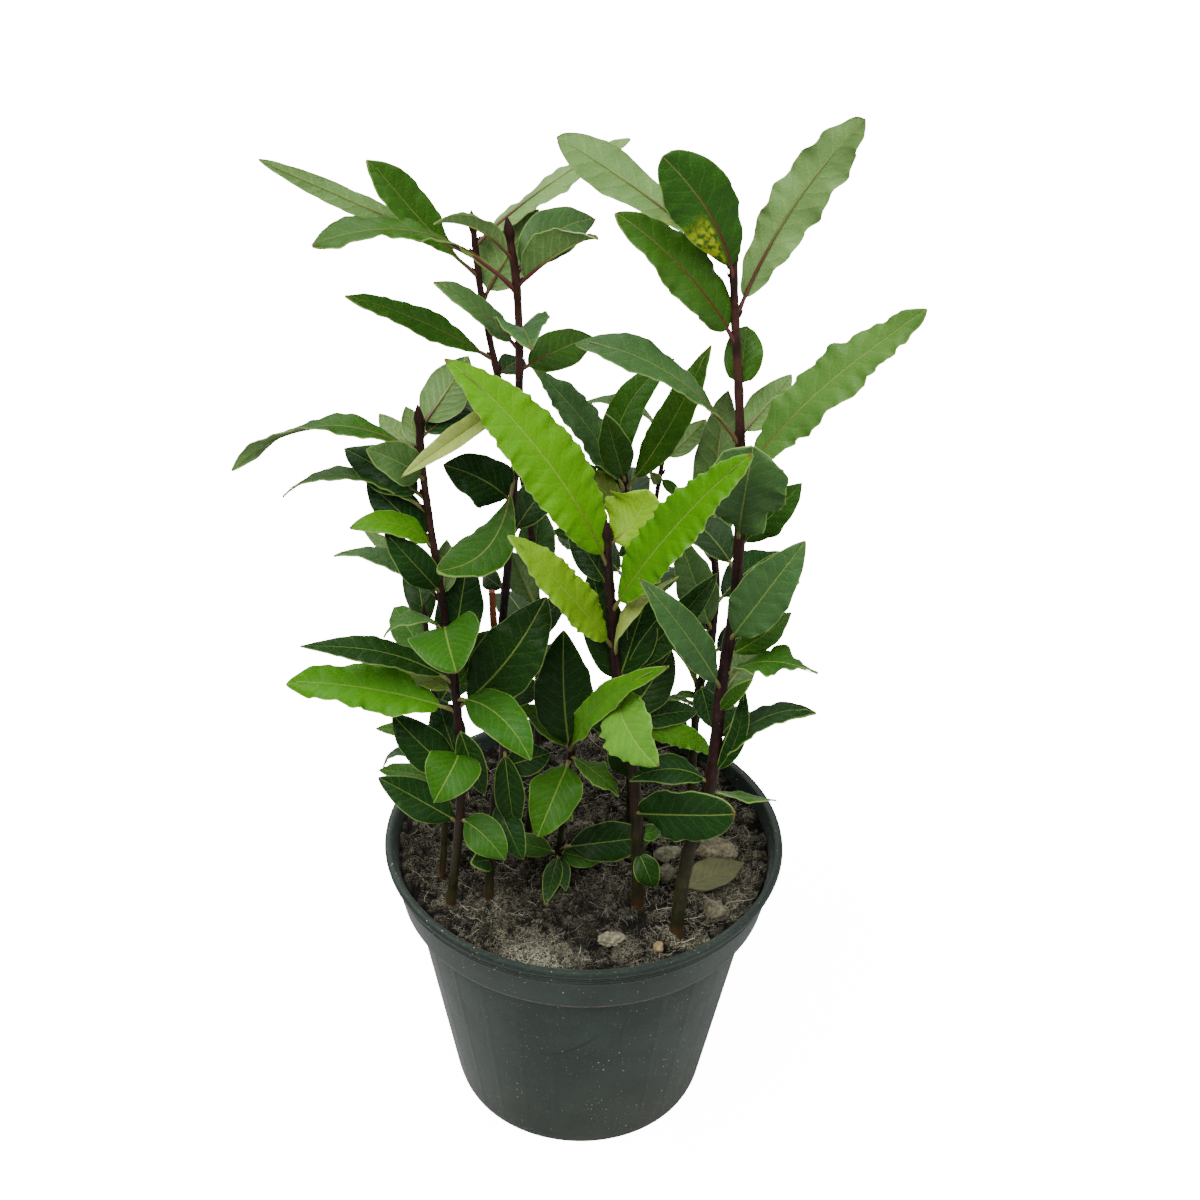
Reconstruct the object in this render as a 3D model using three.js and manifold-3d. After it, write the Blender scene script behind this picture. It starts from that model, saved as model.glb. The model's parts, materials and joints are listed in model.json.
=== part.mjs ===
// A young bay laurel in a round nursery pot: the pot, its soil, nine leafy stems standing in the soil,
// a few pebbles and clods, and one fallen leaf. Millimetres, +Z up. The origin is the middle of the
// pot's underside, and -Y is the front.

import * as THREE from "three";
import { mergeVertices } from "three/addons/utils/BufferGeometryUtils.js";
import Module from "manifold-3d";

const wasm = await Module();
wasm.setup();

// ---- driving dimensions ------------------------------------------------------------------------

const GAP = 0.3; // clearance between pieces that touch

const POT = {
  rimRadius: 70, // outside the lip
  height: 108.5,
  bandHeight: 20.5, // the wide band under the rim
  bandFootRadius: 64.4,
  wallTopRadius: 60.5, // the wall steps in under the band
  baseRadius: 44.4,
  wall: 1.6,
  lip: 3, // width of the rounded lip
  corner: 1.8, // bevel at the foot
  sides: 40,
};
const DRAIN = { count: 5, radius: 4, circle: 30, sides: 10 };

const SOIL = {
  level: 104,
  relief: 0.9, // height of the uneven surface
  rings: [0, 12, 24, 35, 45, 53, 60],
  sides: 28,
};

const STEM = { sides: 6, step: 20, foot: 14, bud: 8 }; // foot: how deep a stem stands in the soil

const LEAF = {
  thick: 0.7, // blade
  stalk: 1.6, // width and thickness of the leaf stalk
  stalkShare: 0.11, // of the length, within stalkMost
  stalkMost: 7,
  wave: 0.06, // rise of the waved edge, as a share of the width
  panel: 12.6, // length of blade between two stations
  tip: 0.9, // width left at the very tip
  peak: 0.44, // where along the blade it is widest
};

// Where each stem stands and how its leaves grow. A path runs from the stem's foot in the soil to its
// top. A leaf is [height of its node, tip from the node x, y, z, width, face, rise, more]. face is how
// far, in degrees, the upper side is tipped from the sky to the front; past 145 the underside shows.
// rise is how far the blade arches above its chord. more may hold bow, how far it bends sideways, twist
// and fold in degrees, wave as a factor, peak, the share of its length where it is widest, and blunt: 1
// for a rounded tip.
const STEMS = {
  stem_left_front: {
    radius: [1.7, 1.05],
    path: [[-46, -33, 90], [-45, -33, 104], [-41, -34, 152], [-42, -34, 194], [-47, -33, 240],
      [-51, -32, 276], [-52, -32, 295]],
    leaves: [
      [294, 14, 13, 18, 14, 230, 3],
      [291, 14, 16, 2, 11, 45, 2],
      [285, -57, -4, -4, 13, 10, 13, { twist: 90, bow: 1 }],
      [284, -14, 14, 6, 9, 210, 1],
      [287, -5, 6, 11, 7, 230, 1],
      [276, -16, -9, 16, 13, 40, 3],
      [269, -26, 12, 10, 13, 50, 3, { bow: 0.5 }],
      [264, -46, 4, 4, 10, -10, 8.5],
      [253, -21, 10, 16, 13, 50, 3],
      [251, -25, -8, 13, 10, 20, 5, { bow: 1.5 }],
      [240, -25, 18, 6, 7, 220, 2],
      [235, -16, -6, 26, 11, 50, 3],
      [231, -34, 4, 16, 9, 0, 5.5, { bow: 1.5 }],
      [232, 1, 12, 15, 8, 230, 2],
      [221, -20, -4, 0, 8, -10, 5],
      [207, 5, 14, 33, 15, 60, 3],
      [222, 5, -24, 0, 24, 55, 4, { fold: 22 }],
      [200, -47, -10, 20, 10, 25, 6.5, { bow: 1.5 }],
      [197, 10, 16, 13, 10, 60, 2],
      [196, -23, 12, 3, 8, 20, 2],
      [194, 25, -24, -5, 15, 30, 5.5, { bow: -3 }],
      [190, 28, 10, 38, 21, 55, 3, { bow: 3 }],
      [189, -54, -6, 15, 16, 30, 4.5, { wave: 1.6, bow: 0.5 }],
      [184, 9, -5, -25, 9, 60, 2],
      [172, -7, -20, -5, 18, 50, 6.5, { bow: -1 }],
      [167, -8, 16, 15, 12, 60, 2],
      [162, -22, 4, 22, 14, 55, 3, { bow: -0.5 }],
      [156, -28, 14, -4, 8, 20, 3],
      [144, 16, -12, -8, 13, 50, 3, { bow: -1.5 }],
      [142, -26, -2, 20, 13, 45, 3],
    ],
  },
  stem_left_low: {
    radius: [1.3, 0.9],
    path: [[-50, -18, 90], [-49, -18, 104], [-48, -14, 122], [-50, -8, 160], [-54, -2, 200]],
    leaves: [
      [196, -6, 26, 18, 11, 50, 3],
      [185, -14, 22, 8, 12, 40, 3],
      [172, -25, 14, 5, 9, 50, 3],
      [168, 8, 24, 2, 12, 50, 3],
      [158, -22, 6, -2, 6, 30, 2],
      [149, -21, 10, -12, 6, 10, 6],
      [130, -18, 16, -4, 11, 40, 3],
    ],
  },
  stem_left_slim: {
    radius: [1.3, 1.0],
    path: [[-20, 0, 90], [-20, 0, 104], [-17, -4, 148], [-17, 2, 200], [-22, 6, 250],
      [-31, 8, 292], [-36, 12, 318], [-38, 14, 336]],
    leaves: [
      [332, 46, 14, 31, 12, 180, -2, { bow: 0.5 }],
      [328, -65, 0, 31, 8, 190, 0, { twist: -80 }],
      [322, -31, -8, 42, 14.5, 30, -2, { bow: -0.5, peak: 0.62 }],
      [314, 17, 4, 30, 19, 235, 2, { bow: 1 }],
      [295, -45, -6, 25, 11, 20, 3, { bow: -0.5 }],
      [290, 8, 9, 1, 9, 30, 1],
      [262, -18, 38, 4, 14, 30, 5],
      [236, 12, 42, -4, 14, 20, 6],
      [214, 1, 10, 25, 13, 45, 3],
      [204, -8, -12, 31, 11, 230, 2],
      [190, -14, 40, -6, 14, 20, 5],
      [170, 10, 36, -2, 13, 20, 4],
    ],
  },
  stem_left_tall: {
    radius: [1.6, 1.15],
    path: [[-32, -31, 90], [-32, -30, 104], [-30, -28, 147], [-27, -26, 167], [-28, -22, 209],
      [-26, -18, 238], [-23, -12, 298], [-24, -8, 330], [-26, -6, 344]],
    twigs: [{ radius: [1.3, 1.1], path: [[-28, -22, 205], [-30, -24, 214], [-31, -23, 229]], leaves: [] }],
    leaves: [
      [338, -22, -18, 21, 8, -20, 4, { fold: 60 }],
      [333, 24, 16, 12, 15, 50, 3, { bow: -3.5 }],
      [330, 24, -8, 22, 18, -40, 2, { fold: 35 }],
      [328, -60, -6, 17, 20, -5, 11.5, { peak: 0.78 }],
      [315, 5, -30, 13, 19, 20, 3, { fold: 30 }],
      [310, -24, -6, 26, 10, 20, 2],
      [303, 22, 16, 3, 13, 45, 3],
      [295, -33, -35, -8, 8, 50, 1, { fold: 30 }],
      [268, -21, -36, -12, 17, 10, -9, { bow: -4, peak: 0.6 }],
      [258, -21, -4, 16, 16, 50, 3.5, { wave: 1.8, bow: 1.5 }],
      [245, 15, 30, 4, 13, 30, 5],
      [227, -8, 14, -4, 7, 60, 2, { bow: 0.5 }],
      [204, 20, 18, 10, 11, 50, 3],
      [182, 9, 22, -2, 11, 50, 2],
      [169, 4, -8, -30, 10, 60, 3],
      [160, 16, 6, 2, 11, 50, 2],
      [148, 10, -14, -15, 10, 60, 2],
      [121, -6, -10, 8, 8, 40, 1],
    ],
  },
  stem_middle_front: {
    radius: [2.4, 1.4],
    path: [[19, -31, 90], [19, -30, 104], [18, -30, 137], [15, -30, 170], [11, -30, 189],
      [8, -29, 215], [5, -28, 253]],
    leaves: [
      [251, 12, 8, 16, 25, 20, -2.5, { wave: 2.4, peak: 0.5, bow: 1.5 }],
      [242, -49, -2, 76, 22, 30, 7.5, { wave: 1.3, bow: 2 }],
      [235, -13, 14, 14, 10, 60, 2],
      [226, 39, -14, 69, 17, 30, 5, { wave: 1.6 }],
      [212, -32, -14, 52, 14, 30, 3, { wave: 1.3, bow: -1 }],
      [207, 19, 4, 31, 8, 0, 8.5, { bow: 3 }],
      [200, 31, 14, 33, 12, 70, 3, { fold: 30 }],
      [199, 9, 10, 30, 15, 60, 3],
      [196, -10, 12, 40, 14, 60, 3],
      [190, 4, 16, -42, 13, 60, 4],
      [199, 13, -30, -10, 20, 90, 4.5, { wave: 1.6, bow: 1 }],
      [183, 15, 16, 18, 15, 60, 2],
      [182, 24, 12, -3, 10, 30, 3],
      [178, 29, 4, -11, 8, 40, 5, { wave: 1.8, bow: -3 }],
      [145, 31, -26, 22, 19, 70, 6, { bow: -3, peak: 0.6, blunt: 1 }],
      [135, 8, 2, 1, 6, 50, 1],
      [129, 6, -6, -12, 9, 50, 2],
    ],
  },
  stem_middle_back: {
    radius: [1.5, 1.1],
    path: [[16, 9, 90], [16, 9, 104], [15, 14, 160], [12, 20, 219], [10, 24, 249]],
    twigs: [{
      radius: [1.1, 0.7],
      path: [[15, 14, 160], [18, 26, 200], [22, 38, 232], [24, 41, 247]],
      leaves: [
        [244, -31, -4, 19, 8, 0, 9.5],
        [240, 14, 6, 13, 8, 220, 2],
        [234, 7, 2, -8, 4, 50, 1],
        [232, -3, -4, 7, 4, 50, 1],
      ],
    }],
    leaves: [
      [242, -7, -12, 33, 11, 60, 2],
      [239, 25, 4, 53, 12, 30, 2, { bow: 3 }],
      [238, -31, -2, 48, 13, 25, 4.5, { wave: 1.5, bow: 0.5 }],
      [236, -12, 14, 23, 11, 50, 3],
      [234, 15, 24, 42, 12, 50, 4, { bow: -10 }],
      [232, -22, -8, 24, 12, 35, 1.5, { wave: 2, bow: -0.5 }],
      [224, 2, 36, 2, 13, 20, 5],
      [220, -25, 6, -1, 8, 40, 3],
      [213, 4, -10, 17, 9, 60, 2],
      [205, -24, 38, -8, 14, 20, 6],
      [190, 16, 42, -6, 14, 20, 6],
      [170, -12, 40, -10, 14, 20, 5],
      [150, 10, 30, -2, 13, 30, 4],
      [140, -20, 26, 0, 12, 30, 4],
    ],
  },
  stem_low_shoot: {
    radius: [1.05, 0.95],
    path: [[-9, -11, 90], [-9, -11, 104], [-7, -14, 134], [-5, -17, 161]],
    leaves: [
      [160, -18, 6, 15, 10, 10, 3],
      [160, 28, -34, 62, 10, 35, 6, { wave: 1.3, bow: -1.5 }],
      [159, -3, 4, 47, 20, 60, 3, { bow: -1 }],
      [158, 17, -14, -5, 9, 0, 1.5, { wave: 2, bow: 0.5 }],
      [156, -10, -24, -14, 17, 50, 4, { wave: 1.3 }],
      [132, 3, -6, 0, 3, 50, 0],
      [128, -12, 2, 8, 10, 50, 2],
      [113, 33, 4, 3, 14, 50, 3],
      [111, 14, -4, -1, 8, 40, 1],
      [110, -21, 6, 0, 9, 30, 2],
      [110, -4, -20, -6, 6.5, 40, 2],
      [109, 3, -15, -3, 6, 40, 2],
    ],
  },
  stem_right_tall: {
    radius: [2.5, 1.2],
    path: [[32, -45, 90], [32, -45, 104], [35, -42, 139], [41, -38, 166], [43, -32, 199],
      [46, -26, 234], [46, -20, 264], [44, -15, 297], [42, -13, 317], [40, -12, 341]],
    leaves: [
      [340, -53, 12, 35, 14, 225, 2, { bow: -2.5, peak: 0.7 }],
      [336, -23, -7, 43, 20, 50, 3, { blunt: 1, bow: 3, peak: 0.6 }],
      [323, 35, 8, 63, 16, 225, 4, { wave: 1.8, bow: 4.5, peak: 0.52 }],
      [315, -37, -6, 46, 18, 30, 4, { bow: 1 }],
      [300, 2, 12, 16, 12, 60, 1, { blunt: 1 }],
      [285, 16, 18, 12, 11, 225, 2],
      [282, -51, 4, 34, 14, 15, 9, { peak: 0.68 }],
      [271, 53, 4, 58, 17, 25, 4.5, { wave: 1.8, bow: -2 }],
      [258, 12, 40, -6, 14, 20, 6],
      [251, 2, -10, 40, 27, 45, 4, { fold: 20, wave: 2, blunt: 1, bow: -0.5, peak: 0.68 }],
      [248, 19, 6, 21, 11, 60, 2, { wave: 1.6 }],
      [240, -16, 34, -4, 14, 20, 5],
      [228, 22, 30, -8, 14, 25, 5],
      [216, 21, -6, 43, 17, 50, 4],
      [211, 21, 12, 9, 10, 80, 2],
      [204, 29, -10, 9, 17, -10, 4.5, { wave: 1.8, peak: 0.34 }],
      [199, -27, -14, 52, 12, 40, 4],
      [197, 12, 18, 7, 11, 230, 2],
      [191, 9, -10, 21, 5, 40, 1],
      [180, 13, 28, -9, 11, 25, 4],
      [170, 33, 6, 22, 14, -5, 7, { bow: -0.5 }],
      [168, 9, 4, 33, 6.5, 60, 2.5, { bow: 3 }],
      [165, -27, -5, 5, 11, 20, 7, { bow: 0.5 }],
      [163, 23, 4, -7, 8, -20, -1],
    ],
  },
  stem_right_back: {
    radius: [1.6, 1.3],
    path: [[38, 26, 90], [38, 26, 104], [38, 28, 123], [39, 30, 151], [42, 31, 168], [43, 33, 192],
      [42, 34, 204], [39, 34, 212]],
    leaves: [
      [195, 1, 10, 73, 16, 230, 3, { bow: 2 }],
      [186, 24, 26, 6, 14, 20, 5],
      [176, -13, -4, 42, 14, 60, 3],
      [172, -8, 38, 0, 14, 20, 5],
      [166, 24, 14, 1, 13, 25, 5],
      [154, 4, -16, -7, 9, 60, 1],
      [151, -13, 6, 17, 7, -30, 2],
      [148, -8, -2, 2, 5, 0, 1],
      [144, -12, -4, 5, 8, -20, 2],
      [140, 18, 30, -6, 13, 20, 4],
      [128, -20, 22, 2, 12, 25, 4],
    ],
  },
};

// Loose things on the soil: where each one lies (x, y), its half sizes and how far round it is turned.
const PEBBLES = {
  pebble_middle: { at: [29.5, -5], half: [4.2, 3.4, 3.2], turn: 20 },
  pebble_large: { at: [47, -2.5], half: [7.4, 4.6, 3.8], turn: -8 },
  pebble_dark: { at: [29, -14.5], half: [3.4, 3, 2.6], turn: 55 },
  clod_right: { at: [46, -34], half: [4.6, 3.8, 3.2], turn: 35 },
  clod_front: { at: [10.5, -49], half: [4, 3.2, 2.4], turn: 10 },
  pebble_ochre: { at: [26, -52], half: [2, 1.8, 1.6], turn: 0 },
};
const FALLEN_LEAF = { root: [33, -24.5, 105.2], row: [0, 23, 13.5, 1.6, 13.5, 12, 1.6] };

const COLOURS = {
  pot: 0x3c4b44,
  soil: 0x4a4239,
  stem: 0x3f6b26,
  pebble: 0x8c7a63,
  fallen_leaf: 0x7d7b4c,
};

// ---- solids and meshes -------------------------------------------------------------------------

const vec = (x, y, z) => new THREE.Vector3(x, y, z);
const radians = THREE.MathUtils.degToRad;

function solidFrom(geometry) {
  const bare = geometry.index ? geometry.clone() : geometry;
  bare.deleteAttribute("normal");
  bare.deleteAttribute("uv");
  const merged = mergeVertices(bare, 1e-4);
  return new wasm.Manifold(
    new wasm.Mesh({
      numProp: 3,
      vertProperties: new Float32Array(merged.attributes.position.array),
      triVerts: new Uint32Array(merged.index.array),
    }),
  );
}

function geometryFrom(solid) {
  const mesh = solid.getMesh();
  const geometry = new THREE.BufferGeometry();
  geometry.setAttribute("position", new THREE.BufferAttribute(mesh.vertProperties, 3));
  geometry.setIndex(new THREE.BufferAttribute(mesh.triVerts, 1));
  geometry.computeVertexNormals();
  return geometry;
}

function geometryOf(points, faces) {
  const geometry = new THREE.BufferGeometry();
  const flat = points.flatMap((p) => [p.x, p.y, p.z]);
  geometry.setAttribute("position", new THREE.Float32BufferAttribute(flat, 3));
  geometry.setIndex(faces);
  return geometry;
}

function named(name, geometry, colour, roughness) {
  const material = new THREE.MeshStandardMaterial({ color: colour, roughness, metalness: 0 });
  const mesh = new THREE.Mesh(geometry, material);
  mesh.name = name;
  return mesh;
}

// ---- the pot and its soil ----------------------------------------------------------------------

const ledge = POT.height - POT.bandHeight; // underside of the band

// Radius inside the pot at height z, along the straight stretches of its inner wall.
function insideRadius(z) {
  const foot = POT.wallTopRadius - POT.baseRadius;
  if (z < ledge) return POT.baseRadius + (foot * z) / ledge - POT.wall;
  const flare = POT.rimRadius - POT.lip / 2 - POT.bandFootRadius;
  return POT.bandFootRadius + (flare * (z - ledge)) / POT.bandHeight - POT.wall;
}

function drainHole(index) {
  const angle = (2 * Math.PI * index) / DRAIN.count;
  const hole = new THREE.CylinderGeometry(DRAIN.radius, DRAIN.radius, 4 * POT.wall, DRAIN.sides);
  hole.rotateX(Math.PI / 2);
  hole.translate(DRAIN.circle * Math.cos(angle), DRAIN.circle * Math.sin(angle), 0);
  return solidFrom(hole);
}

function makePot() {
  const { rimRadius, height, wall, lip, corner, baseRadius, bandFootRadius, wallTopRadius } = POT;
  const band = rimRadius - lip / 2; // outside of the band just under the lip
  const profile = [
    [0, 0],
    [baseRadius - corner, 0],
    [baseRadius, corner],
    [wallTopRadius, ledge - 0.8],
    [bandFootRadius, ledge],
    [band, height - lip],
    [rimRadius, height - lip / 2],
    [rimRadius - lip / 2, height],
    [rimRadius - lip, height - 0.6],
    [insideRadius(height - lip) - 0.3, height - lip],
    [insideRadius(ledge) + 0.2, ledge + wall],
    [insideRadius(ledge - wall), ledge - wall],
    [insideRadius(2 * wall), 2 * wall],
    [insideRadius(0) - corner, wall],
    [0, wall],
  ];
  const points = profile.map(([r, z]) => new THREE.Vector2(r, z));
  const shell = new THREE.LatheGeometry(points, POT.sides);
  shell.rotateX(Math.PI / 2);
  let pot = solidFrom(shell);
  for (let i = 0; i < DRAIN.count; i += 1) pot = pot.subtract(drainHole(i));
  return named("pot", geometryFrom(pot), COLOURS.pot, 0.55);
}

// A low, uneven swell over the soil, flat under the fallen leaf.
function soilHeight(x, y) {
  const swell = Math.sin(0.17 * x + 1.3) * Math.cos(0.21 * y - 0.4) + 0.6 * Math.sin(0.43 * x - 0.31 * y);
  const [rx, ry] = FALLEN_LEAF.root;
  const [, dx, dy] = FALLEN_LEAF.row;
  const away = Math.hypot(x - rx - dx / 2, y - ry - dy / 2);
  const ease = THREE.MathUtils.smoothstep(away, 14, 24);
  return SOIL.level + SOIL.relief * swell * ease;
}

function soilBody() {
  const { rings, sides } = SOIL;
  const edge = SOIL.level - 0.5;
  const below = [edge, ledge + POT.wall + 0.6, ledge - POT.wall, 3 * POT.wall, POT.wall + GAP];
  const points = [vec(0, 0, soilHeight(0, 0))];
  const ring = (radius, height) => {
    for (let k = 0; k < sides; k += 1) {
      const angle = (2 * Math.PI * k) / sides;
      const x = radius * Math.cos(angle);
      const y = radius * Math.sin(angle);
      points.push(vec(x, y, height ?? soilHeight(x, y)));
    }
  };
  for (const radius of rings.slice(1)) ring(radius);
  for (const z of below) ring(soilRadius(z), z);
  points.push(vec(0, 0, POT.wall + GAP));

  const faces = [];
  const count = rings.length - 1 + below.length;
  const last = points.length - 1;
  for (let k = 0; k < sides; k += 1) {
    const next = (k + 1) % sides;
    faces.push(0, 1 + k, 1 + next);
    for (let r = 1; r < count; r += 1) {
      const [a, b] = [1 + (r - 1) * sides + k, 1 + (r - 1) * sides + next];
      faces.push(a, a + sides, b + sides, a, b + sides, b);
    }
    faces.push(1 + (count - 1) * sides + k, last, 1 + (count - 1) * sides + next);
  }
  return solidFrom(geometryOf(points, faces));
}

// The pot has straight facets, so the soil keeps clear of the middle of each one.
function soilRadius(z) {
  const facet = Math.cos(Math.PI / POT.sides);
  const floor = z < 2 * POT.wall ? POT.corner + 0.6 : 0;
  return insideRadius(z) * facet - 2 * GAP - floor;
}

// ---- stems -------------------------------------------------------------------------------------

const pathPoints = (path) => path.map((p) => vec(...p));

// The point of a stem at height z, between the two path points that it lies between.
function nodeAt(path, z) {
  const points = pathPoints(path);
  const above = Math.max(1, points.findIndex((p) => p.z >= z));
  const [a, b] = [points[above - 1], points[above]];
  return a.clone().lerp(b, THREE.MathUtils.clamp((z - a.z) / (b.z - a.z), 0, 1));
}

// A round tapering rod through a row of centres, with a radius at each.
function rod(centres, radii) {
  const sides = STEM.sides;
  const points = [];
  centres.forEach((centre, i) => {
    const before = centres[Math.max(0, i - 1)];
    const after = centres[Math.min(centres.length - 1, i + 1)];
    const along = after.clone().sub(before).normalize();
    const across = vec(1, 0, 0).addScaledVector(along, -along.x).normalize();
    const up = along.clone().cross(across);
    for (let k = 0; k < sides; k += 1) {
      const angle = (2 * Math.PI * k) / sides;
      const spoke = across.clone().multiplyScalar(Math.cos(angle)).addScaledVector(up, Math.sin(angle));
      points.push(centre.clone().addScaledVector(spoke, radii[i]));
    }
  });
  const faces = [];
  const top = (centres.length - 1) * sides;
  for (let k = 0; k < sides; k += 1) {
    const next = (k + 1) % sides;
    for (let i = 0; i < centres.length - 1; i += 1) {
      const [a, b] = [i * sides + k, i * sides + next];
      faces.push(a, b, b + sides, a, b + sides, a + sides);
    }
    if (k > 0 && k < sides - 1) {
      faces.push(0, next, k);
      faces.push(top, top + k, top + next);
    }
  }
  return solidFrom(geometryOf(points, faces));
}

// A stem that tapers to its top and ends in a pointed bud.
function stemRod({ path, radius }, bud) {
  const points = pathPoints(path);
  const curve = new THREE.CatmullRomCurve3(points, false, "centripetal");
  const count = Math.max(2, Math.round(curve.getLength() / STEM.step));
  const centres = curve.getSpacedPoints(count);
  const radii = centres.map((_, i) => THREE.MathUtils.lerp(radius[0], radius[1], i / count));
  if (bud) {
    const top = centres[count];
    const along = top.clone().sub(centres[count - 1]).normalize();
    centres.push(top.clone().addScaledVector(along, 0.3 * STEM.bud));
    centres.push(top.clone().addScaledVector(along, STEM.bud));
    radii.push(1.45 * radius[1], 0.25 * radius[1]);
  }
  return rod(centres, radii);
}

// ---- leaves ------------------------------------------------------------------------------------

// Half width of a blade as a share of its greatest, s of the way from its base to its tip.
function outline(s, { blunt, peak = LEAF.peak }) {
  const bent = Math.pow(s, Math.log(0.5) / Math.log(peak));
  return Math.pow(Math.sin(Math.PI * bent), blunt ? 0.5 : 0.8);
}

// The run of a leaf from its node: its middle line and the directions across and above it.
function leafRun(node, row) {
  const [, dx, dy, dz, , face, rise, more = {}] = row;
  const chord = vec(dx, dy, dz);
  const ahead = chord.clone().normalize();
  const sky = vec(0, -Math.sin(radians(face)), Math.cos(radians(face)));
  const above = sky.addScaledVector(ahead, -sky.dot(ahead)).normalize();
  const arch = above.clone().multiplyScalar(rise);
  arch.addScaledVector(ahead.clone().cross(above), more.bow ?? 0);
  return (t) => {
    const centre = node.clone().addScaledVector(chord, t).addScaledVector(arch, 4 * t * (1 - t));
    const along = chord.clone().addScaledVector(arch, 4 * (1 - 2 * t)).normalize();
    const side = along.clone().cross(above).normalize();
    side.applyAxisAngle(along, radians(more.twist ?? 0) * t * t);
    return { centre, side, normal: side.clone().cross(along) };
  };
}

// One leaf as a thin closed blade on a stalk, with its edges waved up and down between stations. A
// folded blade has a third point across, at its midrib. Both faces are split into triangles the same
// way, so they never cross.
function leafSolid(node, row, turn) {
  const [, dx, dy, dz, width, , , more = {}] = row;
  const length = Math.hypot(dx, dy, dz);
  const share = Math.min(LEAF.stalkShare, LEAF.stalkMost / length);
  const panels = THREE.MathUtils.clamp(Math.round(length / LEAF.panel), 3, 6);
  const run = leafRun(node, row);
  const fold = radians(more.fold ?? 0);
  const swing = LEAF.wave * width * (more.wave ?? 1);
  const across = more.fold ? [-1, 0, 1] : [-1, 1];
  const points = [];

  const station = (t, half, thick, wave) => {
    const { centre, side, normal } = run(t);
    for (const face of [thick / 2, -thick / 2]) {
      for (const k of across) {
        const lift = face + Math.abs(k) * half * Math.sin(fold) + k * wave;
        const out = k * half * Math.cos(fold);
        points.push(centre.clone().addScaledVector(side, out).addScaledVector(normal, lift));
      }
    }
  };
  station(0, LEAF.stalk / 2, LEAF.stalk, 0);
  station(share, LEAF.stalk / 2, (LEAF.stalk + LEAF.thick) / 2, 0);
  for (let i = 0; i < panels; i += 1) {
    const s = (i + 0.5) / panels;
    const half = (width / 2) * outline(s, more);
    station(share + (1 - share) * s, half, LEAF.thick, (i + turn) % 2 ? swing : -swing);
  }
  station(1, LEAF.tip / 2, LEAF.thick, 0);
  return solidFrom(geometryOf(points, ribbonFaces(points.length, across.length)));
}

// Faces of a ribbon whose stations each have a row of points above and the same row below.
function ribbonFaces(total, wide) {
  const faces = [];
  const each = 2 * wide;
  for (let a = 0; a < total - each; a += each) {
    const b = a + each;
    for (let k = 0; k < wide - 1; k += 1) {
      const [top, low] = [a + k, a + k + wide];
      faces.push(top, top + 1, top + 1 + each, top, top + 1 + each, top + each);
      faces.push(low, low + 1 + each, low + 1, low, low + each, low + 1 + each);
    }
    faces.push(a, b, b + wide, a, b + wide, a + wide);
    const [edge, under] = [a + wide - 1, a + each - 1];
    faces.push(edge, under, under + each, edge, under + each, edge + each);
  }
  for (let k = 0; k < wide - 1; k += 1) {
    const end = total - each + k;
    faces.push(k, k + wide, k + wide + 1, k, k + wide + 1, k + 1);
    faces.push(end, end + 1, end + wide + 1, end, end + wide + 1, end + wide);
  }
  return faces;
}

function leafSolids({ path, leaves }) {
  return leaves.map((row, i) => leafSolid(nodeAt(path, row[0]), row, i));
}

function makeLeafyStem(name, spec) {
  const twigs = spec.twigs ?? [];
  const woody = [stemRod(spec, true), ...twigs.map((twig) => stemRod(twig, false))];
  const leafy = [spec, ...twigs].flatMap(leafSolids);
  const solid = [...woody, ...leafy].reduce((sum, piece) => sum.add(piece));
  return named(name, geometryFrom(solid), COLOURS.stem, 0.45);
}

// ---- loose things on the soil ------------------------------------------------------------------

// A stone: a ball drawn out to its half sizes, with dents that a seeded wave gives it.
function pebbleSolid({ at, half, turn }, grown = 0) {
  const ball = new THREE.IcosahedronGeometry(1, 1);
  ball.deleteAttribute("normal");
  ball.deleteAttribute("uv");
  const stone = mergeVertices(ball, 1e-4);
  const place = stone.attributes.position;
  for (let i = 0; i < place.count; i += 1) {
    const p = vec(place.getX(i), place.getY(i), place.getZ(i));
    const dent = 1 + 0.12 * Math.sin(3.1 * p.x + at[0]) + 0.1 * Math.sin(3.7 * p.y + 2.3 * p.z + at[1]);
    place.setXYZ(i, ...half.map((h, axis) => p.getComponent(axis) * (h * dent + grown)));
  }
  stone.rotateZ(radians(turn));
  stone.translate(at[0], at[1], soilHeight(...at) + 0.4 * half[2]);
  return solidFrom(stone);
}

function makePebble(name, spec) {
  return named(name, geometryFrom(pebbleSolid(spec)), COLOURS.pebble, 0.9);
}

function makeFallenLeaf() {
  const leaf = leafSolid(vec(...FALLEN_LEAF.root), FALLEN_LEAF.row, 0);
  return named("fallen_leaf", geometryFrom(leaf), COLOURS.fallen_leaf, 0.8);
}

// ---- assembly ----------------------------------------------------------------------------------

// The soil, with a plain hole for each stem and a dent under each pebble.
function makeSoil() {
  let soil = soilBody();
  for (const { path, radius } of Object.values(STEMS)) {
    const points = pathPoints(path).slice(0, 2);
    const along = points[1].clone().sub(points[0]).normalize();
    const foot = points[0].clone().addScaledVector(along, -GAP);
    const mouth = points[1].clone().addScaledVector(along, 6);
    const bore = (radius[0] + 2 * GAP) / Math.cos(Math.PI / STEM.sides);
    soil = soil.subtract(rod([foot, mouth], [bore, bore]));
  }
  for (const spec of Object.values(PEBBLES)) soil = soil.subtract(pebbleSolid(spec, GAP));
  return named("soil", geometryFrom(soil), COLOURS.soil, 0.95);
}

const plant = new THREE.Group();
plant.add(makePot(), makeSoil());
for (const [name, spec] of Object.entries(STEMS)) plant.add(makeLeafyStem(name, spec));
for (const [name, spec] of Object.entries(PEBBLES)) plant.add(makePebble(name, spec));
plant.add(makeFallenLeaf());

export default plant;
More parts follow.
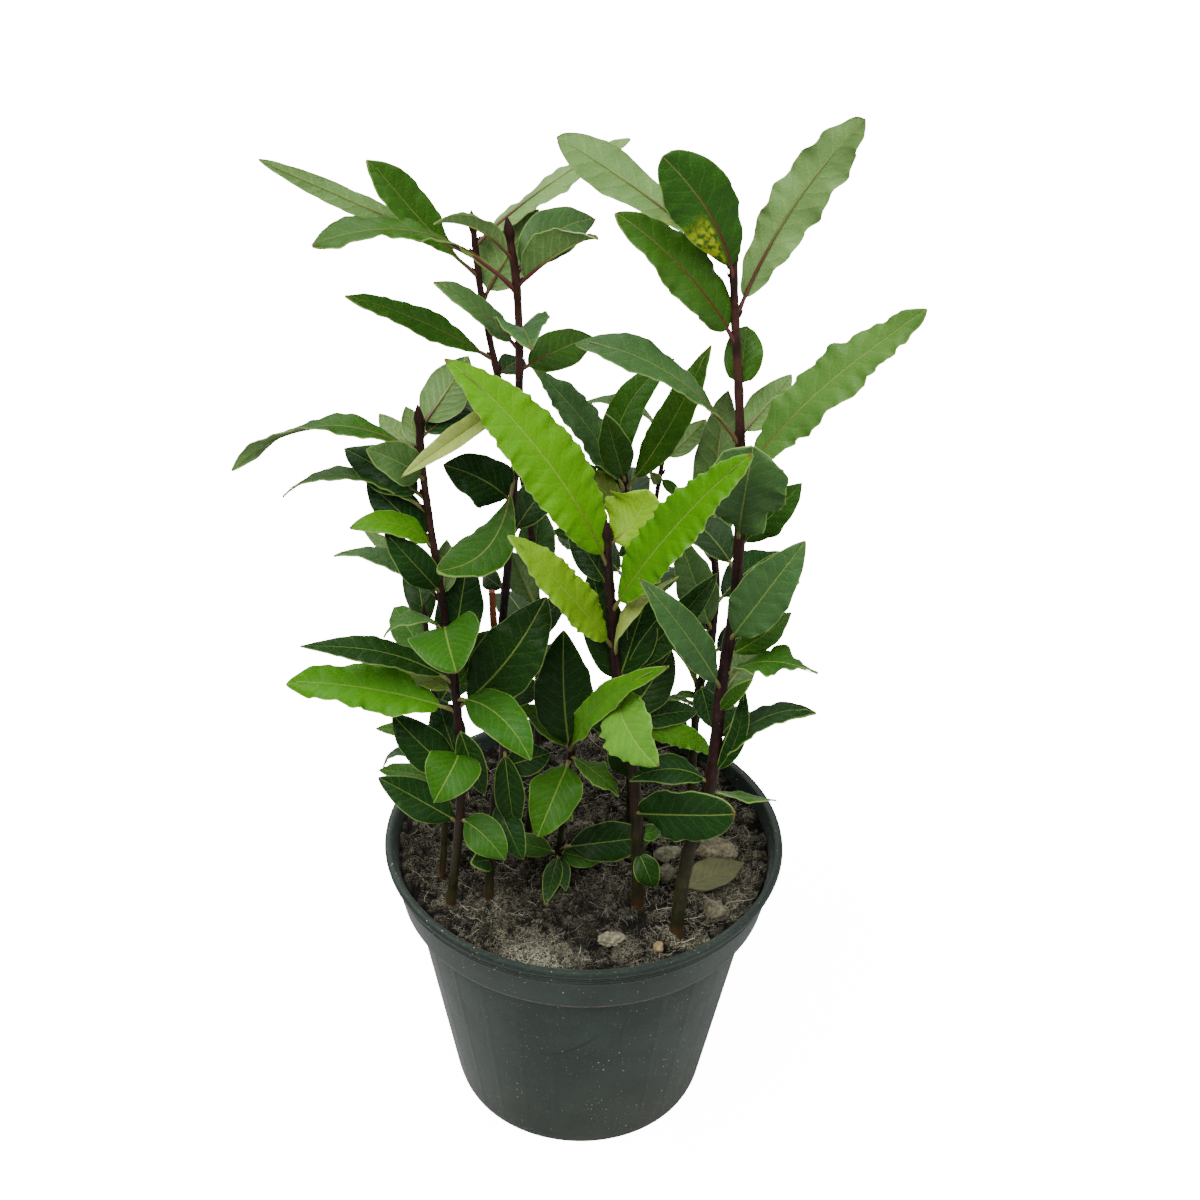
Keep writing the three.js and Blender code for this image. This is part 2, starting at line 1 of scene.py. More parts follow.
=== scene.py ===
# %% [markdown]
# # A young bay laurel in a nursery pot
#
# Nine woody shoots stand in a ribbed plastic pot of felted peat. Each shoot carries leathery leaves
# with wavy, pale margins. The solids of the frame fix where everything is. This lesson puts finer
# pieces in their places: a pot, its soil, loose stones, bark, and about a hundred and fifty leaves.

# %% Start from the fixed frame
import json
import math
import random
from collections import namedtuple

import bpy
import numpy as np
from mathutils import Matrix, Vector, noise

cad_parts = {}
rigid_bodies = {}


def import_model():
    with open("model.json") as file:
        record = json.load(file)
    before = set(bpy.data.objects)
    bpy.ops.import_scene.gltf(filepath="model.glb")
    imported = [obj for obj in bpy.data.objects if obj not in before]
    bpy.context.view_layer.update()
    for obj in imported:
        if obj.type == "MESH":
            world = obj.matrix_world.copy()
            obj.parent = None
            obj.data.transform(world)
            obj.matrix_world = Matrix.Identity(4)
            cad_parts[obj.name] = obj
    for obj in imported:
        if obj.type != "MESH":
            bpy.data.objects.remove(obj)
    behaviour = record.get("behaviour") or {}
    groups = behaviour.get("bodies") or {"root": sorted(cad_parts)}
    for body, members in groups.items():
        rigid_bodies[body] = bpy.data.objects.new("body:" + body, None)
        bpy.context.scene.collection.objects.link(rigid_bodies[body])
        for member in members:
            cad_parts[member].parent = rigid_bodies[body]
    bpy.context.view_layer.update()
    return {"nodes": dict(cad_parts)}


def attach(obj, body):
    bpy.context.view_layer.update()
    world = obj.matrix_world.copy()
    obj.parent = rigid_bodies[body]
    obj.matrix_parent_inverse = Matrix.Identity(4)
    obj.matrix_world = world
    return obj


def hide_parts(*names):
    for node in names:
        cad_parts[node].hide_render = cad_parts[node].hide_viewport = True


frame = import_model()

MM = 0.001
print("the frame has", len(frame["nodes"]), "nodes")

# %% [markdown]
# ## Small tools for materials
#
# A material is a chain of nodes. Here what comes out of a node is a `Value`, which can be added and
# multiplied like a number, and each step of arithmetic adds one Math node. `paint` then lays coats
# over a base colour, so a finish reads from the bottom coat to the top one. `srgb` turns a colour as
# it is seen on a screen into the linear values that shaders work in.

# %% Values that work like numbers
def srgb(red, green, blue):
    """A screen colour, 0 to 255, as the linear colour that a shader needs."""
    parts = [part / 255 for part in (red, green, blue)]
    return (*[p / 12.92 if p <= 0.04045 else ((p + 0.055) / 1.055) ** 2.4 for p in parts], 1.0)


def grey(level):
    return (level, level, level, 1)


class Value:
    """One output of a node. Adding or multiplying it adds Math nodes to its tree."""

    def __init__(self, tree, socket):
        self.tree, self.socket = tree, socket

    def __add__(self, other):
        return calc("ADD", self, other)

    def __sub__(self, other):
        return calc("SUBTRACT", self, other)

    def __mul__(self, other):
        return calc("MULTIPLY", self, other)

    def __truediv__(self, other):
        return calc("DIVIDE", self, other)

    def __pow__(self, other):
        return calc("POWER", self, other)

    def __abs__(self):
        return calc("ABSOLUTE", self)


class Outlets:
    """All the outputs of a node. Each is taken as a Value by its name or number."""

    def __init__(self, tree, made):
        self.tree, self.made = tree, made

    def __getitem__(self, key):
        return Value(self.tree, self.made.outputs[key])


def tree_of(*values):
    return next(value.tree for value in values if isinstance(value, Value))


def fill(tree, sockets, inputs):
    """Links every Value to its socket, and writes plain numbers and colours into theirs."""
    for key, value in inputs.items():
        if isinstance(value, Value):
            tree.links.new(value.socket, sockets[key])
        else:
            sockets[key].default_value = value


def node(tree, kind, inputs=None, **settings):
    """Adds a shader node, sets it up and fills its inputs."""
    made = tree.nodes.new("ShaderNode" + kind)
    for key, value in settings.items():
        setattr(made, key, value)
    fill(tree, made.inputs, inputs or {})
    return Outlets(tree, made)


def calc(operation, *values, clamp=False):
    """One step of arithmetic."""
    parts = dict(enumerate(values))
    return node(tree_of(*values), "Math", parts, operation=operation, use_clamp=clamp)[0]


# %% Masks, colours and relief
def between(value, low, high):
    """Rises softly from 0 to 1 as value goes from low to high, and falls where low is the larger."""
    ends = {"Value": value, "From Min": low, "From Max": high}
    return node(value.tree, "MapRange", ends, interpolation_type="SMOOTHSTEP")["Result"]


def blend(share, first, second, way="MIX"):
    """Mixes two colours by a share."""
    parts = {0: share, 6: first, 7: second}
    return node(tree_of(share, first, second), "Mix", parts, data_type="RGBA", blend_type=way)[2]


def paint(colour, *coats):
    """Lays coats over a colour, each given by how much of it shows and by its own colour."""
    for share, coat in coats:
        colour = blend(share, colour, coat)
    return colour


def object_place(tree):
    return node(tree, "TexCoord")["Object"]


def attribute(tree, name, kind="Fac"):
    return node(tree, "Attribute", attribute_name=name)[kind]


def apart(vector):
    return node(vector.tree, "SeparateXYZ", {0: vector})


def speckle(where, per_metre, detail=3.0, rough=0.55):
    """Cloudy noise, per_metre lumps to the metre."""
    parts = {"Vector": where, "Scale": per_metre, "Detail": detail, "Roughness": rough}
    return node(where.tree, "TexNoise", parts)[0]


def relief(height, depth):
    """A normal that makes height, 0 to 1, look depth millimetres deep."""
    parts = {"Strength": 1.0, "Distance": depth * MM, "Height": height}
    return node(height.tree, "Bump", parts)["Normal"]


# %% New finishes and groups
def new_finish(name):
    """A new material, with its node tree and the inputs of its Principled shader."""
    material = bpy.data.materials.new(name)
    material.use_nodes = True
    tree = material.node_tree
    return material, tree, tree.nodes["Principled BSDF"].inputs


def new_group(name, inputs, outputs):
    """An empty node group, with its tree, what it is given, and where its results go."""
    tree = bpy.data.node_groups.new(name, "ShaderNodeTree")
    for way, labels in (("INPUT", inputs), ("OUTPUT", outputs)):
        for label in labels:
            tree.interface.new_socket(label, in_out=way, socket_type="NodeSocketFloat")
    given = Outlets(tree, tree.nodes.new("NodeGroupInput"))
    return tree, given, tree.nodes.new("NodeGroupOutput").inputs


# %% [markdown]
# ## Camera, floor and light
#
# A plant like this is drawn from a little above, so that the pot's rim opens into an ellipse. The
# camera is turned by a matrix instead of three angles, because it leans sideways by a degree and a
# half as well. The floor is plain and pale, and the light comes from three wide, soft
# directions. The room itself is dim, so that dark, glossy leaves stay dark between their highlights.

# %% Camera
SENSOR, LENS = 36, 75.45
CAMERA_PLACE = (0.00336, -0.6742, 0.6886)
CAMERA_PITCH, CAMERA_ROLL = math.radians(35.35), math.radians(1.53)


def look_down(pitch, roll):
    """How a camera is turned that looks towards +Y, down by pitch, and leans by roll."""
    ahead = Vector((0, math.cos(pitch), -math.sin(pitch)))
    right = Vector((1, 0, 0))
    up = right.cross(ahead)
    leaning_right = math.cos(roll) * right + math.sin(roll) * up
    leaning_up = math.cos(roll) * up - math.sin(roll) * right
    return Matrix((leaning_right, leaning_up, -ahead)).transposed().to_4x4()


def make_camera():
    lens = bpy.data.cameras.new("camera")
    lens.sensor_width = SENSOR
    lens.lens = LENS
    lens.clip_start = 0.01
    camera = bpy.data.objects.new("camera", lens)
    camera.matrix_world = Matrix.Translation(CAMERA_PLACE) @ look_down(CAMERA_PITCH, CAMERA_ROLL)
    bpy.context.scene.collection.objects.link(camera)
    return camera


bpy.context.scene.camera = make_camera()
print("camera", round(bpy.context.scene.camera.location.length, 3), "m from the pot")


# %% Light
DIM, BRIGHT = 0.2, 14.0
LIGHTS = {
    "key": ((-0.45, -0.6, 1.3), 5.5, 40),
    "side": ((1.0, -0.25, 0.9), 2.6, 60),
    "back": ((-0.5, 1.0, 1.1), 2.6, 60),
}


def soft_light(name, comes_from, strength, spread):
    """Even light from one direction, as wide as a window that fills spread degrees of the room."""
    lamp = bpy.data.lights.new(name, "SUN")
    lamp.energy = strength
    lamp.angle = math.radians(spread)
    piece = bpy.data.objects.new(name, lamp)
    piece.matrix_world = Vector(comes_from).to_track_quat("Z", "Y").to_matrix().to_4x4()
    bpy.context.scene.collection.objects.link(piece)


def pale_room():
    """A white room that lights the plant dimly, although the camera sees it bright."""
    world = bpy.data.worlds.new("studio")
    world.use_nodes = True
    tree = world.node_tree
    seen = node(tree, "LightPath")["Is Camera Ray"]
    strength = seen * (BRIGHT - DIM) + DIM
    fill(tree, tree.nodes["Background"].inputs, {"Color": grey(1), "Strength": strength})
    bpy.context.scene.world = world


pale_room()
for name, light in LIGHTS.items():
    soft_light(name, *light)
print(len(LIGHTS), "soft lights in a pale room")

# %% [markdown]
# ## Small tools for modelling
#
# An operator works on whatever is selected, so each piece starts with nothing selected. A finished
# piece is given its materials, takes its place into its mesh, and rides on the one body.

# %% Choosing and finishing pieces
def deselect():
    """Leaves edit mode and selects nothing."""
    if bpy.context.object and bpy.context.object.mode != "OBJECT":
        bpy.ops.object.mode_set(mode="OBJECT")
    bpy.ops.object.select_all(action="DESELECT")


def choose(piece):
    """Makes a piece the only selected one."""
    deselect()
    piece.select_set(True)
    bpy.context.view_layer.objects.active = piece


def triangles(piece):
    return sum(len(face.vertices) - 2 for face in piece.data.polygons)


def mark(piece, name, value):
    """Writes one value to every vertex of a piece, worked out from its place in mm."""
    data = piece.data.attributes.new(name, "FLOAT", "POINT").data
    data.foreach_set("value", [float(value(vertex.co / MM)) for vertex in piece.data.vertices])


def settle(piece, name, materials, stands_for=()):
    """Names a finished piece, gives it its materials and lets it ride in place of CAD nodes."""
    choose(piece)
    bpy.ops.object.transform_apply(location=True, rotation=True, scale=True)
    piece.name = piece.data.name = name
    piece.data.materials.clear()
    for material in materials:
        piece.data.materials.append(material)
    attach(piece, "root")
    if stands_for:
        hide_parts(*stands_for)
    print(name, triangles(piece), "triangles")


# %% Growing a round piece ring by ring
def start_disc(radius, height, sides, turn=0.0):
    """A flat disc that stays in edit mode with its one face selected, ready to be extruded."""
    deselect()
    bpy.ops.mesh.primitive_circle_add(
        vertices=sides, radius=radius * MM, fill_type="NGON",
        location=(0, 0, height * MM), rotation=(0, 0, turn),
    )
    bpy.ops.object.transform_apply(location=True, rotation=True, scale=True)
    bpy.ops.object.mode_set(mode="EDIT")
    bpy.ops.mesh.select_mode(type="FACE")
    bpy.ops.mesh.select_all(action="SELECT")
    return bpy.context.object


def grow_rings(profile):
    """Extrudes the selected disc from each (radius, height) of a profile to the next."""
    for (old, low), (new, high) in zip(profile, profile[1:]):
        bpy.ops.mesh.extrude_region_move(TRANSFORM_OT_translate={"value": (0, 0, (high - low) * MM)})
        share = new / old
        bpy.ops.transform.resize(value=(share, share, 1), center_override=(0, 0, high * MM))


def close_up():
    """Turns every face outwards and leaves edit mode."""
    bpy.ops.mesh.select_all(action="SELECT")
    bpy.ops.mesh.normals_make_consistent(inside=False)
    bpy.ops.object.mode_set(mode="OBJECT")


# %% [markdown]
# ## Mottling, shared by every finish
#
# Plastic, peat, stone, bark and leaves all vary a little from place to place: broad clouds, a fine
# grain, and a few specks of dust. The effect is built once as a node group and placed in each
# material with its own scales.

# %% Node group: mottling
def make_mottling():
    tree, given, out = new_group("mottling", ("Clouds", "Grain", "Dots"), ("Cloud", "Grain", "Dots"))
    where = object_place(tree)
    cells = node(tree, "TexVoronoi", {"Vector": where, "Scale": given["Dots"]})
    size = apart(cells["Color"])[0]
    gap = cells["Distance"] - size ** 3.0 * 0.16
    fill(tree, out, {
        "Cloud": between(speckle(where, given["Clouds"], 2.5), 0.34, 0.66),
        "Grain": speckle(where, given["Grain"], 4.0, 0.65),
        "Dots": between(gap, 0.03, -0.03),
    })
    return tree


mottling = make_mottling()
print("mottling group", len(mottling.nodes), "nodes")


def mottled(tree, clouds, grain, dots):
    """The mottling in a material, with how many clouds, grains and dots there are to the metre."""
    return node(tree, "Group", dict(Clouds=clouds, Grain=grain, Dots=dots), node_tree=mottling)


# %% Floor
def make_floor_finish():
    material, tree, shader = new_finish("pale paper floor")
    seen = node(tree, "LightPath")["Is Camera Ray"]
    bright = blend(mottled(tree, 2.0, 400.0, 50.0)["Cloud"], grey(0.93), grey(0.95))
    fill(tree, shader, {
        "Base Color": blend(seen, grey(0.35), bright),
        "Emission Color": blend(seen, grey(0), grey(1)),
        "Emission Strength": BRIGHT,
        "Specular IOR Level": 0.0,
        "Roughness": 0.9,
    })
    return material


def make_floor():
    deselect()
    bpy.ops.mesh.primitive_plane_add(size=6, location=(0, 0, -0.0003))
    floor = bpy.context.object
    bpy.ops.object.transform_apply(location=True)
    floor.name = "floor"
    floor.data.materials.append(make_floor_finish())


make_floor()

# %% [markdown]
# ## The pot
#
# A nursery pot is blown or pressed from thin plastic. Its wall leans outwards to a ledge, above
# which a wider band stiffens the mouth and ends in a rolled lip. It could be a spun outline or a
# lathe modifier. Here a disc is extruded ring by ring, up the outside, over the lip and down the
# inside, so each ring keeps the same number of sides and the thin ribs fall on the same edges.

# %% Pot outline
LEDGE, WALL_TOP, BASE, WALL = 88.0, 60.5, 44.4, 1.6
BAND_FOOT, BAND_LEAN, BAND_TALL, INNER_TALL = 64.4, 4.1, 17.5, 20.5
RIBS, SIDES_PER_RIB, RIB_TURN = 28, 12, math.radians(3.4)
LINE_HEIGHT = 0.16


def wall_radius(z):
    """Outer radius of the leaning wall under the ledge."""
    return BASE + (WALL_TOP - BASE) * z / LEDGE


def band_radius(z):
    """Outer radius of the band over the ledge."""
    return BAND_FOOT + BAND_LEAN * (z - LEDGE) / BAND_TALL


def inner_radius(z):
    """Radius inside the pot."""
    if z < LEDGE:
        return wall_radius(z) - WALL
    return BAND_FOOT + BAND_LEAN * (z - LEDGE) / INNER_TALL - WALL


def pot_profile():
    """(radius, height) of each ring, from the rim of the foot to the floor inside."""
    foot = [(42.8, 0), (43.5, 0.2), (44.0, 0.7), (44.5, 1.8)]
    wall = [(wall_radius(z), z) for z in (4, 5.5, 16, 28, 40, 52, 64, 76, 83, 85, 86.6)]
    shelf = [(60.75, 87.3), (63.7, 87.6), (64.25, 87.9), (64.55, 88.5)]
    band = [(band_radius(z), z) for z in (89.2, 93, 97, 100.4)]
    lines = []
    for z in (101.2, 102.5, 103.8):
        r = band_radius(z)
        lines += [(r, z), (r + LINE_HEIGHT, z + 0.25), (r + LINE_HEIGHT, z + 0.55), (r, z + 0.8)]
    lip = [(68.6, 105.4), (69.3, 105.6), (69.8, 106.2), (70, 107), (69.85, 107.7), (69.4, 108.25),
           (68.7, 108.5), (68, 108.45), (67.3, 108.2), (66.9, 107.8), (66.6, 107), (66.2, 105.6)]
    inside = [(65, 100), (63.6, 93), (62.9, 89.8), (58.9, 86.6), (inner_radius(60), 60),
              (inner_radius(30), 30), (inner_radius(5), 5), (42.6, 2.4), (41.6, 1.7), (40, 1.6)]
    return foot + wall + shelf + band + lines + lip + inside


# %% Extrude the pot and raise its ribs
RIB_HEIGHT = 0.16
DRAIN_HOLES, DRAIN_RING, DRAIN_RADIUS = 5, 30, 4


def raise_ribs(pot):
    """Lifts one line of vertices in twelve on the outer wall, which makes the thin upright ribs."""
    step = 2 * math.pi / (RIBS * SIDES_PER_RIB)
    raised = 0
    for vertex in pot.data.vertices:
        x, y, z = vertex.co
        radius = math.hypot(x, y)
        outer = radius > (wall_radius(z / MM) - 0.8) * MM
        if not (outer and 3 * MM < z < 86 * MM):
            continue
        place = round((math.atan2(y, x) - RIB_TURN - math.pi / 2) / step)
        if place % SIDES_PER_RIB == 0:
            taper = 0.5 if z < 5 * MM or z > 84 * MM else 1.0
            vertex.co.x *= 1 + RIB_HEIGHT * taper * MM / radius
            vertex.co.y *= 1 + RIB_HEIGHT * taper * MM / radius
            raised += 1
    print("ribs:", raised, "vertices raised")


def drill_drain_holes(pot):
    """Cuts round holes through the floor with a boolean modifier."""
    deselect()
    for i in range(DRAIN_HOLES):
        angle = 2 * math.pi * i / DRAIN_HOLES
        spot = (DRAIN_RING * MM * math.cos(angle), DRAIN_RING * MM * math.sin(angle), 0)
        bpy.ops.mesh.primitive_cylinder_add(
            vertices=24, radius=DRAIN_RADIUS * MM, depth=8 * MM, location=spot
        )
        drill = bpy.context.object
        choose(pot)
        cut = pot.modifiers.new("drain hole", "BOOLEAN")
        cut.object = drill
        cut.solver = "EXACT"
        bpy.ops.object.modifier_apply(modifier=cut.name)
        bpy.data.objects.remove(drill)


def make_pot():
    profile = pot_profile()
    pot = start_disc(*profile[0], RIBS * SIDES_PER_RIB, RIB_TURN)
    grow_rings(profile)
    close_up()
    raise_ribs(pot)
    drill_drain_holes(pot)
    choose(pot)
    bpy.ops.object.shade_smooth_by_angle(angle=math.radians(28))
    return pot


pot = make_pot()

# %% [markdown]
# ## Green-grey pot plastic
#
# Recycled polypropylene is a dark, greenish grey with a satin skin. Handling and watering leave a
# thin brownish film low on the wall, pale specks of dust all over, a lighter line where the mould
# parted under the band, and a dark scuff. The top of the rolled lip is darkened as painted shade.
# All of these are masks over one base colour.

# %% Pot finish
def scuff_mask(x, y, z):
    """A short curved scrape on the front of the wall."""
    curve = (x + 0.016) ** 2.0 * 26.0 + 0.0535
    ends = between(x, -0.015, -0.006) * between(x, 0.0095, 0.003)
    return between(abs(z - curve), 0.0012, 0.0002) * ends * between(y, -0.02, -0.03)


def make_pot_plastic():
    material, tree, shader = new_finish("green-grey pot plastic")
    x, y, z = apart(object_place(tree))
    spots = mottled(tree, 45.0, 900.0, 560.0)
    fine = mottled(tree, 16.0, 2600.0, 760.0)
    seam = between(abs(z - 0.0883), 0.0005, 0.0001) * between(spots["Grain"], 0.35, 0.6)
    dusty = fine["Cloud"] * 0.7 + 0.3
    colour = paint(
        blend(spots["Cloud"], srgb(27, 39, 32), srgb(37, 50, 42)),
        (between(z, 0.05, 0.0) * fine["Cloud"] * 0.4, srgb(54, 54, 42)),
        # Painted shade: the top of the rolled lip is painted darker.
        (between(z, 0.1045, 0.106) * 0.5, srgb(16, 24, 20)),
        (between(spots["Grain"], 0.5, 0.72) * 0.3, srgb(72, 76, 64)),
        (seam * 0.75, srgb(112, 92, 76)),
        (scuff_mask(x, y, z) * 0.8, srgb(18, 22, 22)),
        (spots["Dots"] * dusty, srgb(178, 176, 154)),
        (fine["Dots"] * dusty, srgb(172, 160, 132)),
    )
    fill(tree, shader, {
        "Base Color": colour,
        "Roughness": spots["Grain"] * 0.3 + 0.36,
        "Specular IOR Level": 0.2,
        "Sheen Weight": 0.08,
        "Sheen Roughness": 0.4,
        "Normal": relief(spots["Cloud"] * 0.6 + fine["Grain"], 0.05),
    })
    return material


settle(pot, "nursery_pot", [make_pot_plastic()], ["pot"])

# %% [markdown]
# ## The soil
#
# Old peat settles a little below the rim. Its top is lumpy, with dark gaps between the lumps, and
# covered by a felt of fine, pale fibres. A grid would have a stair-stepped edge against the round
# wall, so the soil is grown ring by ring like the pot, inwards over the top, and then its top is
# pushed up and down by noise.

# %% Soil level
SOIL_LEVEL = 104.0
FALLEN_SPOT = (44.5, -17.75)


def ease(value, low, high):
    share = min(1.0, max(0.0, (value - low) / (high - low)))
    return share * share * (3 - 2 * share)


def clear_of_leaf(x, y, low, high):
    """0 under the fallen leaf, rising to 1 from low to high mm away from its middle."""
    return ease(math.hypot(x - FALLEN_SPOT[0], y - FALLEN_SPOT[1]), low, high)


def swell(x, y):
    """The low swell that the solid soil has, in mm, flat under the fallen leaf."""
    wave = math.sin(0.17 * x + 1.3) * math.cos(0.21 * y - 0.4) + 0.6 * math.sin(0.43 * x - 0.31 * y)
    return 0.9 * wave * clear_of_leaf(x, y, 14, 24)


def bumps(x, y, size, layer):
    """Noise with lumps about size mm wide, from its own layer of the noise."""
    return noise.noise(Vector((x / size, y / size, layer)))


def crumble(x, y):
    """Rounded lumps of peat with sharp gaps between them, in mm, pressed flat by the fallen leaf."""
    free = 0.3 + 0.7 * clear_of_leaf(x, y, 11, 20)
    lumps = 1.2 * bumps(x, y, 17, 2.6) + 5.2 * abs(bumps(x, y, 6.5, 0.3)) + 2.8 * abs(bumps(x, y, 2.7, 4.1))
    return free * (lumps + 0.7 * bumps(x, y, 1.3, 8.7) - 2.1)


def ground(x, y):
    """Height of the soil at a place, in mm."""
    return SOIL_LEVEL + swell(x, y) + crumble(x, y)


# %% Grow the soil
SOIL_GAP, SOIL_SIDES, SOIL_RINGS = 0.9, 336, 82


def make_soil():
    edge = inner_radius(103) - SOIL_GAP
    sides = [(39.5, 2.0), (inner_radius(6) - SOIL_GAP, 6), (inner_radius(86) - SOIL_GAP, 86), (62, 90.5)]
    top = [(edge - (edge - 0.6) * i / SOIL_RINGS, SOIL_LEVEL) for i in range(SOIL_RINGS + 1)]
    soil = start_disc(*sides[0], SOIL_SIDES)
    grow_rings([*sides, (edge, 103), *top])
    close_up()
    for vertex in soil.data.vertices:
        if vertex.co.z > 103.5 * MM:
            x, y = vertex.co.x / MM, vertex.co.y / MM
            vertex.co.z = ground(x, y) * MM
    # The height of the lumps, which the peat finish uses to paint shade into the gaps.
    mark(soil, "lump", lambda p: crumble(p.x, p.y))
    choose(soil)
    bpy.ops.object.shade_smooth()
    return soil


soil = make_soil()

# %% [markdown]
# ## Felted peat
#
# Seen close, the peat is grey-beige where fibres and a bloom of mould lie on the lumps. Stretched
# noise gives the fibrous look, and the height of each lump keeps the felt out of the gaps, which stay
# nearly black as painted shade. The middle of the front is painted dark as the shadow of the leaves,
# and the right side is painted paler as light falling there. A soft round mask adds the white, fuzzy
# patch of mould at the front edge.

# %% Peat finish
# Middles of patches on the soil's top, in mm: painted shadow under the leaves, white mould, and painted
# light at the right.
LEAF_SHADOW, MOULD, LIGHT_POOL = (7, -36), (-15, -57), (46, -30)
MOULD_STRETCH = 1.6


def round_patch(x, y, middle, reach, stretch=1.0):
    """1 inside an oval patch of the soil, softly falling to 0 at its reach in mm."""
    across = (x - middle[0] * MM) ** 2.0
    deep = ((y - middle[1] * MM) * stretch) ** 2.0
    return between(calc("SQRT", across + deep), reach * MM, 0.3 * reach * MM)


def make_peat():
    material, tree, shader = new_finish("felted peat")
    where = object_place(tree)
    x, y, _ = apart(where)
    spots = mottled(tree, 110.0, 900.0, 600.0)
    parts = {"Vector": where, "Scale": 1100.0, "Detail": 5.0, "Distortion": 2.5}
    threads = node(tree, "TexNoise", parts)[0]
    # Painted shadow: the middle of the front is darkened, as under the leaves.
    leaf_shadow = round_patch(x, y, LEAF_SHADOW, 26) * -0.75 + 1.0
    # Painted light: the right side of the soil is made paler, as where the light falls.
    dry = round_patch(x, y, LIGHT_POOL, 50) * 0.45 + 0.75
    white = round_patch(x, y, MOULD, 19, MOULD_STRETCH) * between(threads, 0.45, 0.58)
    # Painted shade: the pale felt is kept off the low gaps between the lumps, which stay nearly black.
    felt = between(threads, 0.46, 0.62) * leaf_shadow * between(attribute(tree, "lump"), -1.2, 0.8)
    felt = felt * (spots["Cloud"] * 0.7 + 0.3)
    dark = srgb(11, 10, 7)
    colour = paint(
        blend(between(spots["Grain"], 0.4, 0.65), dark, tuple(3.2 * part for part in dark)),
        (calc("MULTIPLY", felt, dry, clamp=True), srgb(132, 128, 106)),
        (white * 0.85, srgb(158, 156, 134)),
    )
    fill(tree, shader, {
        "Base Color": colour,
        "Roughness": 1.0,
        "Specular IOR Level": 0.1,
        "Normal": relief(threads + spots["Grain"] * 0.8, 0.8),
    })
    return material


settle(soil, "peat_soil", [make_peat()], ["soil"])

# %% [markdown]
# ## Things repeated by the hundred
#
# Fibres, crumbs and buds repeat hundreds of times. One small piece is modelled and copied:
# `scatter` writes all copies into one mesh, each placed by its own matrix and carrying its own
# `shade` value, which the material reads to make no two copies alike.

# %% Scattering copies
def show(name, data):
    """A new object in the scene, chosen and ready for an operator."""
    piece = bpy.data.objects.new(name, data)
    bpy.context.scene.collection.objects.link(piece)
    choose(piece)
    return piece


def scatter(masters, matrices, shades):
    """One mesh of many copies: copy i is masters[i % len(masters)] placed by matrices[i]."""
    points, faces, tones = [], [], []
    for i, matrix in enumerate(matrices):
        master = masters[i % len(masters)].data
        base = len(points)
        points += [matrix @ vertex.co for vertex in master.vertices]
        faces += [[base + k for k in face.vertices] for face in master.polygons]
        tones += [shades[i]] * len(master.vertices)
    mesh = bpy.data.meshes.new("copies")
    mesh.from_pydata(points, [], faces)
    mesh.attributes.new("shade", "FLOAT", "POINT").data.foreach_set("value", tones)
    piece = show("copies", mesh)
    bpy.ops.object.shade_smooth()
    for master in masters:
        bpy.data.objects.remove(master)
    return piece


def tube_from(points, thickness, sides=4):
    """A thin closed tube along points, made from a curve with a bevel and converted to a mesh."""
    path = bpy.data.curves.new("thread", "CURVE")
    path.dimensions = "3D"
    path.bevel_depth = MM
    path.bevel_resolution = max(0, sides // 2 - 2)
    path.use_fill_caps = True
    run = path.splines.new("POLY")
    run.points.add(len(points) - 1)
    for point, place, size in zip(run.points, points, thickness):
        point.co = (*[c * MM for c in place], 1)
        point.radius = size
    show("thread", path)
    bpy.ops.object.convert(target="MESH")
    return bpy.context.object


# %% Fibres of the felt
FIBRE_JOINTS, FIBRE_TAPER = 5, (0.4, 0.9, 1, 1, 0.8, 0.3)


def make_fibre_master(dice, curl, thickness):
    """One curled fibre, about 10 mm long."""
    heading, points = 0.0, [Vector((0, 0, 0))]
    for _ in range(FIBRE_JOINTS):
        heading += dice.uniform(-curl, curl)
        rise = dice.uniform(-0.3, 0.35)
        points.append(points[-1] + Vector((2 * math.cos(heading), 2 * math.sin(heading), rise)))
    middle = sum(points, Vector()) / len(points)
    return tube_from([p - middle for p in points], [thickness * t for t in FIBRE_TAPER])


def lying_at(dice, most_tilt, reach):
    """A random place on the soil and a matrix for something that lies there."""
    radius = reach * math.sqrt(dice.random())
    angle = dice.uniform(0, 2 * math.pi)
    x, y = radius * math.cos(angle), radius * math.sin(angle)
    spin = Matrix.Rotation(dice.uniform(0, 2 * math.pi), 4, "Z")
    tilt = Matrix.Rotation(dice.uniform(-most_tilt, most_tilt), 4, "X")
    return x, y, spin @ tilt


def near(x, y, middle, inner, outer, stretch=1.0):
    """1 within inner mm of the middle of a patch, softly falling to 0 at outer mm."""
    return 1 - ease(math.hypot(x - middle[0], stretch * (y - middle[1])), inner, outer)


def paleness(x, y):
    """How pale the felt is at a place: dark in the painted shadow under the leaves, white in the patch of
    mould, and paler in the painted light at the right.
    """
    white = near(x, y, MOULD, 5, 19, MOULD_STRETCH)
    return 0.5 - 0.42 * near(x, y, LEAF_SHADOW, 8, 26) + 0.45 * white + 0.3 * near(x, y, LIGHT_POOL, 15, 50)


